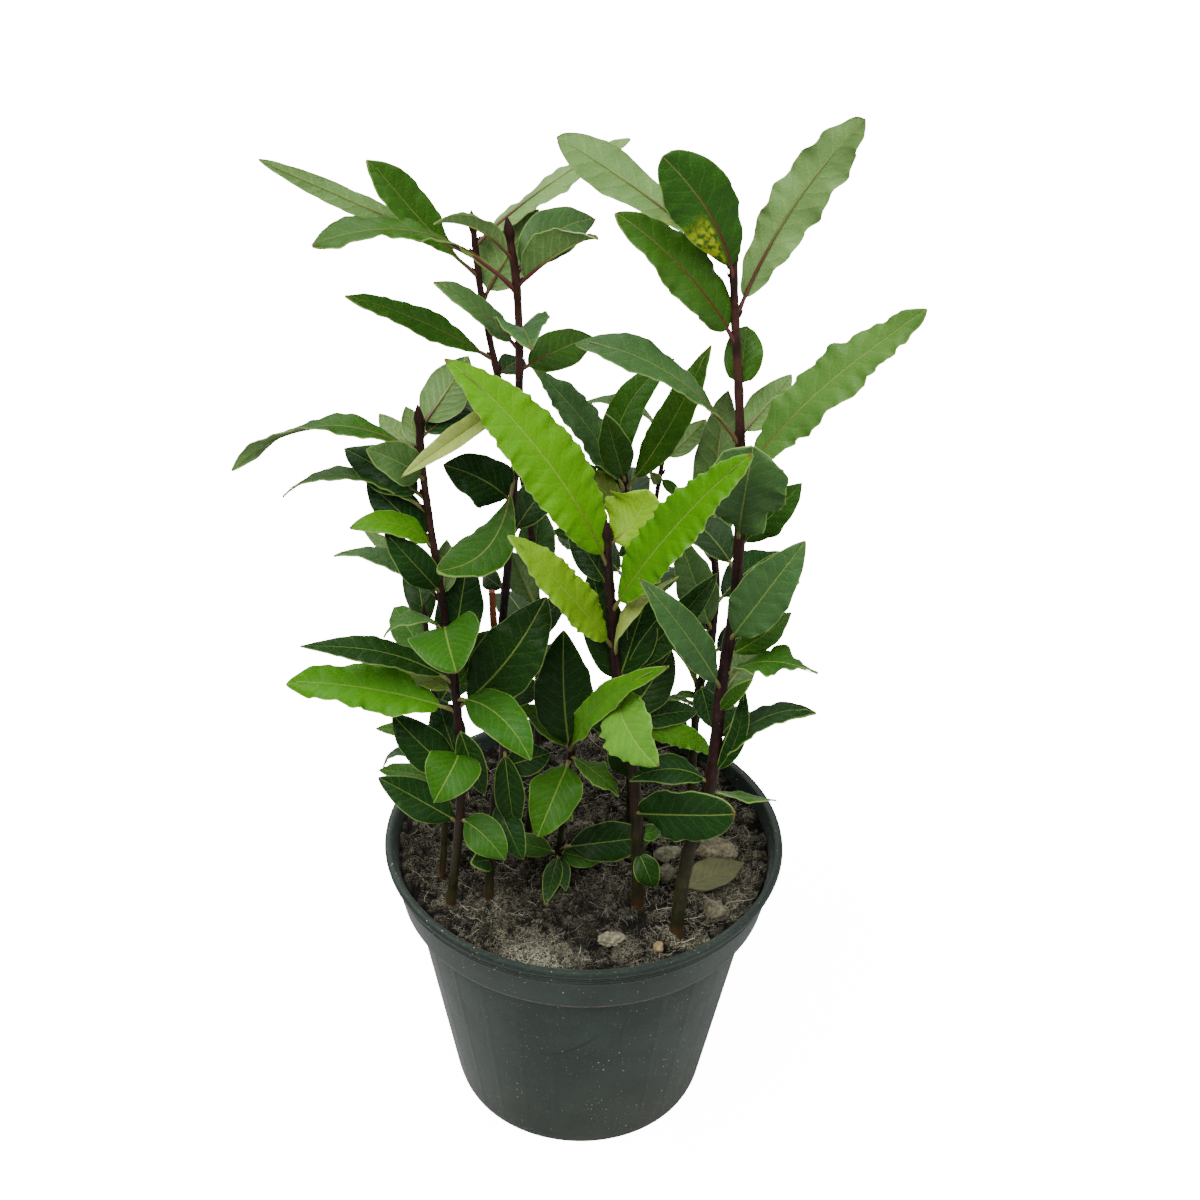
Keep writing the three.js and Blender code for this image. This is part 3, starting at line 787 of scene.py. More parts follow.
def make_fibres(count, seed, curl, thickness, sizes):
    dice = random.Random(seed)
    masters = [make_fibre_master(dice, curl, thickness) for _ in range(8)]
    matrices, shades = [], []
    while len(matrices) < count:
        x, y, turn = lying_at(dice, 0.5, 62.0)
        if bumps(x, y, 9, 2.0) + dice.uniform(-0.35, 0.35) < -0.1:
            continue
        size = dice.uniform(*sizes)
        at = Vector((x, y, ground(x, y) + 0.1 + 0.7 * dice.random() ** 2)) * MM
        matrices.append(Matrix.Translation(at) @ turn @ Matrix.Scale(size, 4))
        # Each fibre's shade holds the painted shadow and painted light of the soil's patches, with a random
        # change.
        shades.append(paleness(x, y) * dice.uniform(0.5, 1.3))
    return scatter(masters, matrices, shades)


fibres = {
    "lower": make_fibres(4200, 11, 1.3, 0.085, (0.15, 0.5)),
    "upper": make_fibres(4200, 12, 1.3, 0.085, (0.15, 0.5)),
    "coarse": make_fibres(260, 13, 0.5, 0.1, (0.5, 1.3)),
}


# %% Crumbs of peat
def make_crumbs(count):
    dice = random.Random(23)
    deselect()
    bpy.ops.mesh.primitive_ico_sphere_add(subdivisions=1, radius=MM)
    crumb = bpy.context.object
    for vertex in crumb.data.vertices:
        vertex.co *= dice.uniform(0.7, 1.2)
    matrices, shades = [], []
    for _ in range(count):
        x, y, turn = lying_at(dice, 1.5, 63.0)
        size = 0.35 + 1.1 * dice.random() ** 2.5
        at = Vector((x, y, ground(x, y) + 0.25 * size)) * MM
        squash = Matrix.Diagonal((size * dice.uniform(0.8, 1.4), size, size * 0.75, 1))
        matrices.append(Matrix.Translation(at) @ turn @ squash)
        # Each crumb's shade holds the painted shadow and painted light of the soil's patches, with a random
        # change.
        shades.append(dice.random() ** 2 * (0.4 + paleness(x, y)))
    return scatter([crumb], matrices, shades)


crumbs = make_crumbs(1100)


# %% Fibre and crumb finishes
def make_shaded(name, dark, pale, rough):
    """A finish whose colour runs from dark to pale by each copy's own shade."""
    material, tree, shader = new_finish(name)
    grain = mottled(tree, 120.0, 1500.0, 900.0)["Grain"]
    mixed = calc("ADD", grain * 0.4, attribute(tree, "shade") * 0.8, clamp=True)
    fill(tree, shader, {
        "Base Color": blend(mixed, dark, pale),
        "Roughness": rough,
        "Normal": relief(grain, 0.15),
    })
    return material


fibre_finish = make_shaded("pale fibres", srgb(24, 22, 15), srgb(166, 162, 140), 0.9)
crumb_finish = make_shaded("peat crumbs", srgb(10, 9, 6), srgb(70, 66, 50), 0.95)
for part, felt in fibres.items():
    settle(felt, "soil_fibres_" + part, [fibre_finish])
settle(crumbs, "soil_crumbs", [crumb_finish])

# %% [markdown]
# ## Pebbles and clods
#
# A few stones and lumps of peat lie half sunk in the soil. Each starts as an icosphere, because its
# triangles are even all over, and is drawn out to the stone's half sizes and dented by slow waves,
# with fine noise on top.

# %% Stones
STONES = {
    "pebble_middle": dict(at=(29.5, -5), half=(4.2, 3.4, 3.2), turn=20, rough=0.10),
    "pebble_large": dict(at=(47, -2.5), half=(7.4, 4.6, 3.8), turn=-8, rough=0.07),
    "pebble_dark": dict(at=(29, -14.5), half=(3.4, 3, 2.6), turn=55, rough=0.12),
    "clod_right": dict(at=(46, -34), half=(4.6, 3.8, 3.2), turn=35, rough=0.22),
    "clod_front": dict(at=(10.5, -49), half=(4, 3.2, 2.4), turn=10, rough=0.22),
    "pebble_ochre": dict(at=(26, -52), half=(2, 1.8, 1.6), turn=0, rough=0.08),
}


def make_stone(at, half, turn, rough):
    deselect()
    bpy.ops.mesh.primitive_ico_sphere_add(subdivisions=5, radius=1)
    stone = bpy.context.object
    spin = Matrix.Rotation(math.radians(turn), 3, "Z")
    middle = Vector((at[0], at[1], SOIL_LEVEL + swell(*at) + 0.4 * half[2]))
    for vertex in stone.data.vertices:
        p = vertex.co.copy()
        dent = 1 + 0.12 * math.sin(3.1 * p.x + at[0]) + 0.1 * math.sin(3.7 * p.y + 2.3 * p.z + at[1])
        grit = noise.fractal(p * 2.2 + Vector((at[0], at[1], 0)), 0.7, 2.0, 5)
        size = dent * (1 + rough * grit)
        vertex.co = (spin @ Vector([h * c * size for h, c in zip(half, p)]) + middle) * MM
    bpy.ops.object.shade_smooth()
    return stone


# %% Stone finishes
STONE_COLOURS = {
    "pebble_middle": ("grey-beige stone", (84, 84, 64), (118, 117, 92)),
    "pebble_large": ("pinkish stone", (92, 86, 66), (124, 117, 92)),
    "pebble_dark": ("brown stone", (62, 60, 45), (84, 81, 61)),
    "clod_right": ("fibrous clod", (64, 62, 45), (104, 101, 76)),
    "clod_front": ("pale clod", (104, 100, 76), (138, 134, 108)),
    "pebble_ochre": ("ochre stone", (108, 90, 56), (142, 122, 84)),
}


def make_stone_finish(name, dark, pale, grain):
    material, tree, shader = new_finish(name)
    spots = mottled(tree, 260.0, grain, 900.0)
    colour = paint(
        blend(spots["Cloud"], srgb(*dark), srgb(*pale)),
        (between(spots["Grain"], 0.42, 0.62) * 0.6, srgb(33, 32, 22)),
        (spots["Dots"] * 0.4, srgb(122, 120, 98)),
    )
    normal = relief(spots["Grain"], 0.6)
    fill(tree, shader, {"Base Color": colour, "Roughness": 0.88, "Normal": normal})
    return material


for name, shape in STONES.items():
    slot, grain = ("soil", 600.0) if name.startswith("clod") else ("pebble", 900.0)
    finish = make_stone_finish(*STONE_COLOURS[name], grain)
    settle(make_stone(**shape), "stone_" + name, [finish], [name])

# %% [markdown]
# ## The plan of the bush
#
# Every shoot is a path of "x y z" points, with a radius at its foot and its top, in millimetres.
# Every leaf is one line: the height of its node on the path, how far it reaches in x, y and z, its
# width, the tilt of its face, how far it arches, its tone, and anything special, such as a twist.

# %% Reading the plan
Leaf = namedtuple("Leaf", "height dx dy dz width face rise tone more")
Shoot = namedtuple("Shoot", "radius path leaves twigs")


def read_leaf(line):
    """A leaf from its line of seven numbers, a tone, and name=value pairs."""
    *plain, tone = line.split()[:8]
    pairs = [word.split("=") for word in line.split()[8:]]
    return Leaf(*map(float, plain), tone, {name: float(value) for name, value in pairs})


def read_shoot(radius, path, leaves="", twigs=()):
    """A shoot from its two radii, its path with a comma between points, and its lines of leaves."""
    points = [[float(part) for part in point.split()] for point in path.split(",")]
    return Shoot(radius, points, [read_leaf(line) for line in leaves.strip().splitlines()], twigs)


SHOOTS = {}


def plan_shoot(name, *plan):
    SHOOTS[name] = read_shoot(*plan)
    print(name, "has", len(SHOOTS[name].leaves), "leaves")


# %% Shoot at the front left
plan_shoot("stem_left_front", (1.7, 1.05),
    "-46 -33 90, -45 -33 104, -41 -34 152, -42 -34 194, -47 -33 240, -51 -32 276, "
    "-52 -32 295", """
294 14 13 18 14 230 3 mid
291 14 16 2 11 45 2 dark
285 -57 -4 -4 13 10 13 mid twist=90 bow=1
284 -14 14 6 9 210 1 mid
287 -5 6 11 7 230 1 mid
276 -16 -9 16 13 40 3 grey
269 -26 12 10 13 50 3 dark bow=0.5
264 -46 4 4 10 -10 8.5 mid
253 -21 10 16 13 50 3 dark
251 -25 -8 13 10 20 5 fresh bow=1.5
240 -25 18 6 7 220 2 mid
235 -16 -6 26 11 50 3 dark
231 -34 4 16 9 0 5.5 grey bow=1.5
232 1 12 15 8 230 2 mid
221 -20 -4 0 8 -10 5 mid
207 5 14 33 15 60 3 dark
222 5 -24 0 24 55 4 green fold=22 power=0.6
200 -47 -10 20 10 25 6.5 dark bow=1.5
197 10 16 13 10 60 2 mid
196 -23 12 3 8 20 2 olive
194 25 -24 -5 15 30 5.5 green bow=-3
190 28 10 38 21 55 3 dark bow=3
189 -54 -6 15 16 30 4.5 fresh wave=1.6 bow=0.5 power=0.62
184 9 -5 -25 9 60 2 dark
172 -7 -20 -5 18 50 6.5 green bow=-1
167 -8 16 15 12 60 2 dark
162 -22 4 22 14 55 3 dark bow=-0.5
156 -28 14 -4 8 20 3 mid
144 16 -12 -8 13 50 3 mid bow=-1.5
142 -26 -2 20 13 45 3 dark
""")

# %% Low shoot behind it
plan_shoot("stem_left_low", (1.3, 0.9),
    "-50 -18 90, -49 -18 104, -48 -14 122, -50 -8 160, -54 -2 200", """
196 -6 26 18 11 50 3 dark
185 -14 22 8 12 40 3 mid
172 -25 14 5 9 50 3 dark
168 8 24 2 12 50 3 dark
158 -22 6 -2 6 30 2 mid
149 -21 10 -12 6 10 6 dark
130 -18 16 -4 11 40 3 dark
""")

# %% Slim shoot at the back left
plan_shoot("stem_left_slim", (1.3, 1),
    "-20 0 90, -20 0 104, -17 -4 148, -17 2 200, -22 6 250, -31 8 292, -36 12 318, "
    "-38 14 336", """
332 46 14 31 12 180 -2 pale bow=0.5 power=0.6
328 -65 0 31 8 190 0 green twist=-80 power=0.62
322 -31 -8 42 14.5 30 -2 mid bow=-0.5 peak=0.62 power=0.85
314 17 4 30 19 235 2 mid bow=1
295 -45 -6 25 11 20 3 green bow=-0.5
290 8 9 1 9 30 1 dark
262 -18 38 4 14 30 5 dark
236 12 42 -4 14 20 6 dark
214 1 10 25 13 45 3 grey
204 -8 -12 31 11 230 2 grey
190 -14 40 -6 14 20 5 dark
170 10 36 -2 13 20 4 dark
""")

# %% Tall shoot at the left, with a dead stub
stub = read_shoot((1.3, 1.1), "-28 -22 205, -30 -24 214, -31 -23 229")
plan_shoot("stem_left_tall", (1.6, 1.15),
    "-32 -31 90, -32 -30 104, -30 -28 147, -27 -26 167, -28 -22 209, -26 -18 238, "
    "-23 -12 298, -24 -8 330, -26 -6 344", """
338 -22 -18 21 8 -20 4 grey fold=60
333 24 16 12 15 50 3 grey bow=-3.5
330 24 -8 22 18 -40 2 mid fold=35
328 -60 -6 17 20 -5 11.5 mid peak=0.78 red=1
315 5 -30 13 19 20 3 grey fold=30
310 -24 -6 26 10 20 2 grey
303 22 16 3 13 45 3 mid
295 -33 -35 -8 8 50 1 straw fold=30
268 -21 -36 -12 17 10 -9 mid bow=-4 peak=0.6 power=0.66
258 -21 -4 16 16 50 3.5 dark wave=1.8 bow=1.5
245 15 30 4 13 30 5 dark
227 -8 14 -4 7 60 2 dark bow=0.5
204 20 18 10 11 50 3 dark
182 9 22 -2 11 50 2 dark
169 4 -8 -30 10 60 3 dark
160 16 6 2 11 50 2 dark
148 10 -14 -15 10 60 2 dark
121 -6 -10 8 8 40 1 dark
""", [stub])

# %% Middle shoot with the young leaves
plan_shoot("stem_middle_front", (2.4, 1.4),
    "19 -31 90, 19 -30 104, 18 -30 137, 15 -30 170, 11 -30 189, 8 -29 215, 5 -28 253", """
251 12 8 16 25 20 -2.5 young wave=2.4 peak=0.5 bow=1.5 power=0.9 teeth=1.8 red=0.5
242 -49 -2 76 22 30 7.5 lime wave=1.3 bow=2 power=0.72 teeth=0.5 red=0.45
235 -13 14 14 10 60 2 dark
226 39 -14 69 17 30 5 lime wave=1.6 power=0.62 teeth=0.8 red=0.3
212 -32 -14 52 14 30 3 young wave=1.3 bow=-1 power=0.62 teeth=0.5
207 19 4 31 8 0 8.5 straw bow=3
200 31 14 33 12 70 3 dark fold=30
199 9 10 30 15 60 3 dark
196 -10 12 40 14 60 3 dark
190 4 16 -42 13 60 4 dark
199 13 -30 -10 20 90 4.5 soft wave=1.6 bow=1 teeth=0.8
183 15 16 18 15 60 2 dark
182 24 12 -3 10 30 3 dark
178 29 4 -11 8 40 5 fresh wave=1.8 bow=-3 teeth=0.6
145 31 -26 22 19 70 6 dark bow=-3 peak=0.6 blunt=1
135 8 2 1 6 50 1 mid
129 6 -6 -12 9 50 2 dark
""")

# %% Middle shoot at the back, with a twig
twig = read_shoot((1.1, 0.7), "15 14 160, 18 26 200, 22 38 232, 24 41 247", """
244 -31 -4 19 8 0 9.5 grey
240 14 6 13 8 220 2 grey
234 7 2 -8 4 50 1 mid
232 -3 -4 7 4 50 1 olive
""")
plan_shoot("stem_middle_back", (1.5, 1.1),
    "16 9 90, 16 9 104, 15 14 160, 12 20 219, 10 24 249", """
242 -7 -12 33 11 60 2 mid
239 25 4 53 12 30 2 mid bow=3
238 -31 -2 48 13 25 4.5 grey wave=1.5 bow=0.5
236 -12 14 23 11 50 3 mid
234 15 24 42 12 50 4 mid bow=-10
232 -22 -8 24 12 35 1.5 olive wave=2 bow=-0.5
224 2 36 2 13 20 5 dark
220 -25 6 -1 8 40 3 mid
213 4 -10 17 9 60 2 mid
205 -24 38 -8 14 20 6 dark
190 16 42 -6 14 20 6 dark
170 -12 40 -10 14 20 5 dark
150 10 30 -2 13 30 4 dark
140 -20 26 0 12 30 4 dark
""", [twig])

# %% Short shoot between the others
plan_shoot("stem_low_shoot", (1.05, 0.95),
    "-9 -11 90, -9 -11 104, -7 -14 134, -5 -17 161", """
160 -18 6 15 10 10 3 mid
160 28 -34 62 10 35 6 fresh wave=1.3 bow=-1.5
159 -3 4 47 20 60 3 dark bow=-1
158 17 -14 -5 9 0 1.5 mid wave=2 bow=0.5
156 -10 -24 -14 17 50 4 green wave=1.3
132 3 -6 0 3 50 0 fresh
128 -12 2 8 10 50 2 dark
113 33 4 3 14 50 3 dark
111 14 -4 -1 8 40 1 mid
110 -21 6 0 9 30 2 mid
110 -4 -20 -6 6.5 40 2 dark
109 3 -15 -3 6 40 2 dark
""")

# %% Tall shoot at the right
plan_shoot("stem_right_tall", (2.5, 1.2),
    "32 -45 90, 32 -45 104, 35 -42 139, 41 -38 166, 43 -32 199, 46 -26 234, 46 -20 264, "
    "44 -15 297, 42 -13 317, 40 -12 341", """
340 -53 12 35 14 225 2 pale bow=-2.5 peak=0.7 power=0.62 yellow=0.8
336 -23 -7 43 20 50 3 mid blunt=1 bow=3 peak=0.6 yellow=-1 red=1.2
323 35 8 63 16 225 4 pale wave=1.8 bow=4.5 peak=0.52 power=0.55
315 -37 -6 46 18 30 4 mid bow=1 power=0.66 red=1.2
300 2 12 16 12 60 1 mid blunt=1
285 16 18 12 11 225 2 fresh
282 -51 4 34 14 15 9 grey peak=0.68 power=0.7
271 53 4 58 17 25 4.5 sage wave=1.8 bow=-2 power=0.6
258 12 40 -6 14 20 6 dark
251 2 -10 40 27 45 4 grey fold=20 wave=2 blunt=1 bow=-0.5 peak=0.68
248 19 6 21 11 60 2 mid wave=1.6
240 -16 34 -4 14 20 5 dark
228 22 30 -8 14 25 5 dark
216 21 -6 43 17 50 4 grey
211 21 12 9 10 80 2 mid
204 29 -10 9 17 -10 4.5 mid wave=1.8 peak=0.34
199 -27 -14 52 12 40 4 grey
197 12 18 7 11 230 2 grey
191 9 -10 21 5 40 1 mid
180 13 28 -9 11 25 4 dark
170 33 6 22 14 -5 7 dark bow=-0.5
168 9 4 33 6.5 60 2.5 dark bow=3
165 -27 -5 5 11 20 7 dark bow=0.5
163 23 4 -7 8 -20 -1 mid
""")

# %% Shoot behind the tall one
plan_shoot("stem_right_back", (1.6, 1.3),
    "38 26 90, 38 26 104, 38 28 123, 39 30 151, 42 31 168, 43 33 192, 42 34 204, "
    "39 34 212", """
195 1 10 73 16 230 3 grey bow=2
186 24 26 6 14 20 5 dark
176 -13 -4 42 14 60 3 grey
172 -8 38 0 14 20 5 dark
166 24 14 1 13 25 5 dark
154 4 -16 -7 9 60 1 dark
151 -13 6 17 7 -30 2 mid
148 -8 -2 2 5 0 1 mid
144 -12 -4 5 8 -20 2 mid
140 18 30 -6 13 20 4 dark
128 -20 22 2 12 25 4 dark
""")

# %% Count the leaves
branches = [branch for shoot in SHOOTS.values() for branch in (shoot, *shoot.twigs)]
print(len(SHOOTS), "shoots,", sum(len(branch.leaves) for branch in branches), "leaves")

# %% [markdown]
# ## Bark
#
# A shoot is a tapering rod that ends in a pointed bud. It could be a skin modifier on a line of
# vertices, but a curve with a round bevel takes an exact thickness at every point, which gives the
# slight knees at the leaf nodes and the swelling and point of the bud. The curve passes through the
# path points in the same way as the solid stem does.

# %% A smooth line through the path points
def smooth_piece(before, start, end, after, share):
    """A point between start and end on a centripetal Catmull-Rom curve."""
    gaps = [max(1e-4, (b - a).length_squared ** 0.25)
            for a, b in ((before, start), (start, end), (end, after))]
    first = (start - before) / gaps[0] - (end - before) / (gaps[0] + gaps[1]) + (end - start) / gaps[1]
    last = (end - start) / gaps[1] - (after - start) / (gaps[1] + gaps[2]) + (after - end) / gaps[2]
    first, last = first * gaps[1], last * gaps[1]
    rise = -3 * start + 3 * end - 2 * first - last
    turn = 2 * start - 2 * end + first + last
    return start + first * share + rise * share ** 2 + turn * share ** 3


def smooth_line(path, step):
    """Points about step mm apart along a path."""
    points = [Vector(p) for p in path]
    points = [2 * points[0] - points[1], *points, 2 * points[-1] - points[-2]]
    line = []
    for i in range(1, len(points) - 2):
        count = max(2, round((points[i + 1] - points[i]).length / step))
        line += [smooth_piece(*points[i - 1:i + 3], k / count) for k in range(count)]
    return line + [points[-2]]


def node_at(path, height):
    """The point of a straight-sided path at a height."""
    for low, high in zip(path, path[1:]):
        if high[2] >= height:
            break
    share = min(1.0, max(0.0, (height - low[2]) / (high[2] - low[2])))
    return Vector(low).lerp(Vector(high), share)


# %% Rods with knees and buds
BUD = [(0.8, 1.2), (1.7, 1.42), (2.8, 1.5), (3.9, 1.3), (5.1, 1.0), (6.2, 0.66), (7.1, 0.34), (7.5, 0.12)]
KNEE, KNEE_SPAN = 0.14, 1.8


def rod_profile(shoot, bud):
    """Centres and radii of a shoot from its foot to its tip."""
    line = smooth_line(shoot.path, 2.0)
    low, high = shoot.radius
    radii = []
    for i, point in enumerate(line):
        knees = [math.exp(-((point.z - leaf.height) / KNEE_SPAN) ** 2) for leaf in shoot.leaves]
        grit = noise.noise(point / 5) * 0.06
        plain = low + (high - low) * i / (len(line) - 1)
        radii.append(plain * (1 + KNEE * max(knees or [0]) + grit))
    if bud:
        tip, ahead = line[-1], (line[-1] - line[-2]).normalized()
        line = line + [tip + ahead * far for far, _ in BUD]
        radii = radii + [high * size for _, size in BUD]
    return line, radii


def make_rod(shoot, bud, dead=0.0):
    line, radii = rod_profile(shoot, bud)
    rod = tube_from(line, radii, 12)
    tip, ahead = line[-1], (line[-1] - line[-2]).normalized()
    mark(rod, "bud", lambda p: ease((p - tip).dot(ahead), -7.5, -6.2) if bud else 0)
    mark(rod, "dead", lambda p: dead)
    return rod


# %% Small buds in the leaf axils
def make_bud_master():
    """A pointed bud, a little longer than it is wide."""
    deselect()
    bpy.ops.mesh.primitive_uv_sphere_add(segments=8, ring_count=6, radius=MM)
    bud = bpy.context.object
    for vertex in bud.data.vertices:
        lift = vertex.co.z / MM
        vertex.co.x *= 0.62 * (1 - 0.45 * lift)
        vertex.co.y *= 0.62 * (1 - 0.45 * lift)
        vertex.co.z *= 1.5
    return bud


def make_axil_buds(shoot, dice):
    """A bud over each leaf stalk, all in one mesh."""
    bud, matrices = make_bud_master(), []
    for leaf in shoot.leaves:
        out = Vector((leaf.dx, leaf.dy, 0)).normalized()
        at = node_at(shoot.path, leaf.height + 2.0) + out * (shoot.radius[1] + 0.35)
        lean = Vector((0, 0, 1)).rotation_difference(out * 0.55 + Vector((0, 0, 1)))
        size = Matrix.Scale(dice.uniform(0.75, 1.15), 4)
        matrices.append(Matrix.Translation(at * MM) @ lean.to_matrix().to_4x4() @ size)
    buds = scatter([bud], matrices, [1.0] * len(matrices))
    mark(buds, "bud", lambda p: 0.8)
    mark(buds, "dead", lambda p: 0)
    return buds


# %% Put a shoot together
def join(parts):
    deselect()
    for part in parts:
        part.select_set(True)
    bpy.context.view_layer.objects.active = parts[0]
    bpy.ops.object.join()
    bpy.ops.object.shade_smooth()
    return bpy.context.object


def make_bark(shoot, dice):
    parts = [make_rod(shoot, True)]
    parts += [make_rod(twig, False, dead=0 if twig.leaves else 1) for twig in shoot.twigs]
    parts += [make_axil_buds(branch, dice) for branch in (shoot, *shoot.twigs) if branch.leaves]
    return join(parts)


barks = {name: make_bark(shoot, random.Random(len(name))) for name, shoot in SHOOTS.items()}
print("bark", sum(triangles(piece) for piece in barks.values()), "triangles")

# %% [markdown]
# ## Bark finish
#
# Old wood near the soil is olive brown and dull. Young wood above is dark purple brown with a slight
# gloss, fine upright streaks and a few pale dots, the lenticels. Buds are darker still, and a dead
# stub is orange brown. Height decides between old and young wood, so the node reads Object Z.

# %% Bark material
def make_bark_finish():
    material, tree, shader = new_finish("laurel bark")
    where = object_place(tree)
    z = apart(where)[2]
    spots = mottled(tree, 130.0, 1400.0, 700.0)
    drawn = node(tree, "VectorMath", {0: where, 1: (1.0, 1.0, 0.12)}, operation="MULTIPLY")[0]
    streaks = speckle(drawn, 1500.0, 3.0)
    old = blend(spots["Cloud"], srgb(26, 28, 13), srgb(44, 46, 25))
    young = blend(spots["Cloud"], srgb(22, 10, 11), srgb(40, 19, 18))
    newest = blend(spots["Cloud"], srgb(36, 19, 16), srgb(66, 39, 32))
    young = blend(between(z, 0.22, 0.31), young, newest)
    colour = paint(
        blend(between(spots["Cloud"] * 0.03 + z, 0.13, 0.20), old, young),
        (between(z, 0.112, 0.104) * 0.55, srgb(70, 42, 26)),
        (between(streaks, 0.5, 0.7) * 0.3, srgb(66, 50, 38)),
        (spots["Dots"] * 0.5, srgb(112, 96, 76)),
        (attribute(tree, "bud") * 0.85, srgb(34, 14, 13)),
        (attribute(tree, "dead"), srgb(116, 58, 30)),
    )
    fill(tree, shader, {
        "Base Color": colour,
        "Roughness": spots["Grain"] * 0.35 + 0.3,
        "Specular IOR Level": 0.14,
        "Normal": relief(streaks + spots["Grain"], 0.16),
    })
    return material


bark_finish = make_bark_finish()
for name, piece in barks.items():
    settle(piece, name.replace("stem", "bark"), [bark_finish], [name])

# %% [markdown]
# ## One leaf, modelled flat
#
# A laurel leaf is a stiff blade on a short stalk, with a strong midrib below. It is modelled once,
# flat: x runs across from -1 to 1, y from base to tip, and z through the thickness. The blade is a
# grid with a Solidify modifier, and the midrib is an eight-sided rod from the stalk nearly to the
# tip. Four sizes of grid exist: small leaves carry no needless faces, and toothed ones have the most.

# %% Flat blade
def spread(share):
    """Moves grid columns towards the midrib and the margin, where the blade bends most."""
    wanted = [0.0, 0.1, 0.36, 0.66, 0.93, 1.0]
    return float(np.interp(abs(share), np.linspace(0, 1, 6), wanted)) * (1 if share > 0 else -1)


def make_flat_blade(stations):
    deselect()
    bpy.ops.mesh.primitive_grid_add(x_subdivisions=10, y_subdivisions=stations, size=2)
    blade = bpy.context.object
    for vertex in blade.data.vertices:
        vertex.co.x = spread(vertex.co.x)
        vertex.co.y = (vertex.co.y + 1) / 2
    thicken = blade.modifiers.new("thickness", "SOLIDIFY")
    thicken.thickness = 1
    thicken.offset = 0
    bpy.ops.object.modifier_apply(modifier=thicken.name)
    for face in blade.data.polygons:
        up = face.normal.z
        face.material_index = 0 if up > 0.5 else 1 if up < -0.5 else 2
    return blade


def make_flat_midrib(rings):
    deselect()
    bpy.ops.mesh.primitive_circle_add(vertices=8, radius=1, fill_type="NGON", rotation=(-math.pi / 2, 0, 0))
    bpy.ops.object.transform_apply(rotation=True)
    bpy.ops.object.mode_set(mode="EDIT")
    bpy.ops.mesh.select_all(action="SELECT")
    for _ in range(rings):
        bpy.ops.mesh.extrude_region_move(TRANSFORM_OT_translate={"value": (0, 1 / rings, 0)})
    close_up()
    rib = bpy.context.object
    for face in rib.data.polygons:
        face.material_index = 3
    return rib


def read_flat(piece):
    """Points, faces and material numbers of a flat master, which is then no longer needed."""
    points = np.array([vertex.co for vertex in piece.data.vertices])
    faces = [list(face.vertices) for face in piece.data.polygons]
    kinds = [face.material_index for face in piece.data.polygons]
    bpy.data.objects.remove(piece)
    return points, faces, kinds


BLADES = {size: (read_flat(make_flat_blade(size)), read_flat(make_flat_midrib(rings)))
          for size, rings in ((14, 8), (28, 14), (54, 22), (100, 24))}
print("blade points:", {size: len(parts[0][0]) for size, parts in BLADES.items()})

# %% [markdown]
# ## Laying a leaf along its run
#
# The flat leaf is bent in code, because each of the leaves has its own arch, twist and waves. Its
# y becomes a place on an arched line, its x a distance across, and its z a height above. The
# formulas for the line, the outline and the big waves are those of the solid leaf. The scene adds a
# shallow fold, fine ruffles, a rolled margin and, on young leaves, small teeth.

# %% The line that a leaf follows
def unit(rows):
    return rows / np.linalg.norm(rows, axis=-1, keepdims=True)


def length_of(leaf):
    return math.sqrt(leaf.dx * leaf.dx + leaf.dy * leaf.dy + leaf.dz * leaf.dz)


def leaf_line(root, leaf, t):
    """Centres and the directions across and above, at shares t of a leaf's length."""
    t = t[:, None]
    face = math.radians(leaf.face)
    chord = np.array([leaf.dx, leaf.dy, leaf.dz])
    ahead = unit(chord)
    sky = np.array([0, -math.sin(face), math.cos(face)])
    above = unit(sky - (sky @ ahead) * ahead)
    arch = above * leaf.rise + np.cross(ahead, above) * leaf.more.get("bow", 0)
    centre = root + chord * t + arch * 4 * t * (1 - t)
    along = unit(chord + arch * 4 * (1 - 2 * t))
    side = unit(np.cross(along, above))
    turn = math.radians(leaf.more.get("twist", 0)) * t * t
    side = side * np.cos(turn) + np.cross(along, side) * np.sin(turn)
    return centre, side, np.cross(side, along)


# %% The blade's outline and waves
STALK_SHARE, STALK_MOST, WAVE, PANEL, PEAK = 0.11, 7.0, 0.06, 12.6, 0.44
UNEVEN_SPAN, TOOTH_SPAN, BITE_SPAN, RUFFLE_SPAN, NIBBLE_SPAN = 15.0, 4.6, 12.0, 8.0, 4.5


def frill(y, u, period, dice):
    """Uneven up and down along both edges, period mm from wave to wave, different left and right."""
    waves = []
    for _ in range(2):
        first, second = dice.uniform(0.8, 1.25), dice.uniform(1.5, 2.1)
        start, later = dice.uniform(0, 6.28), dice.uniform(0, 6.28)
        turn = 2 * math.pi * y / period
        waves.append(np.sin(first * turn + start) + 0.5 * np.sin(second * turn + later))
    return np.where(u < 0, *waves)


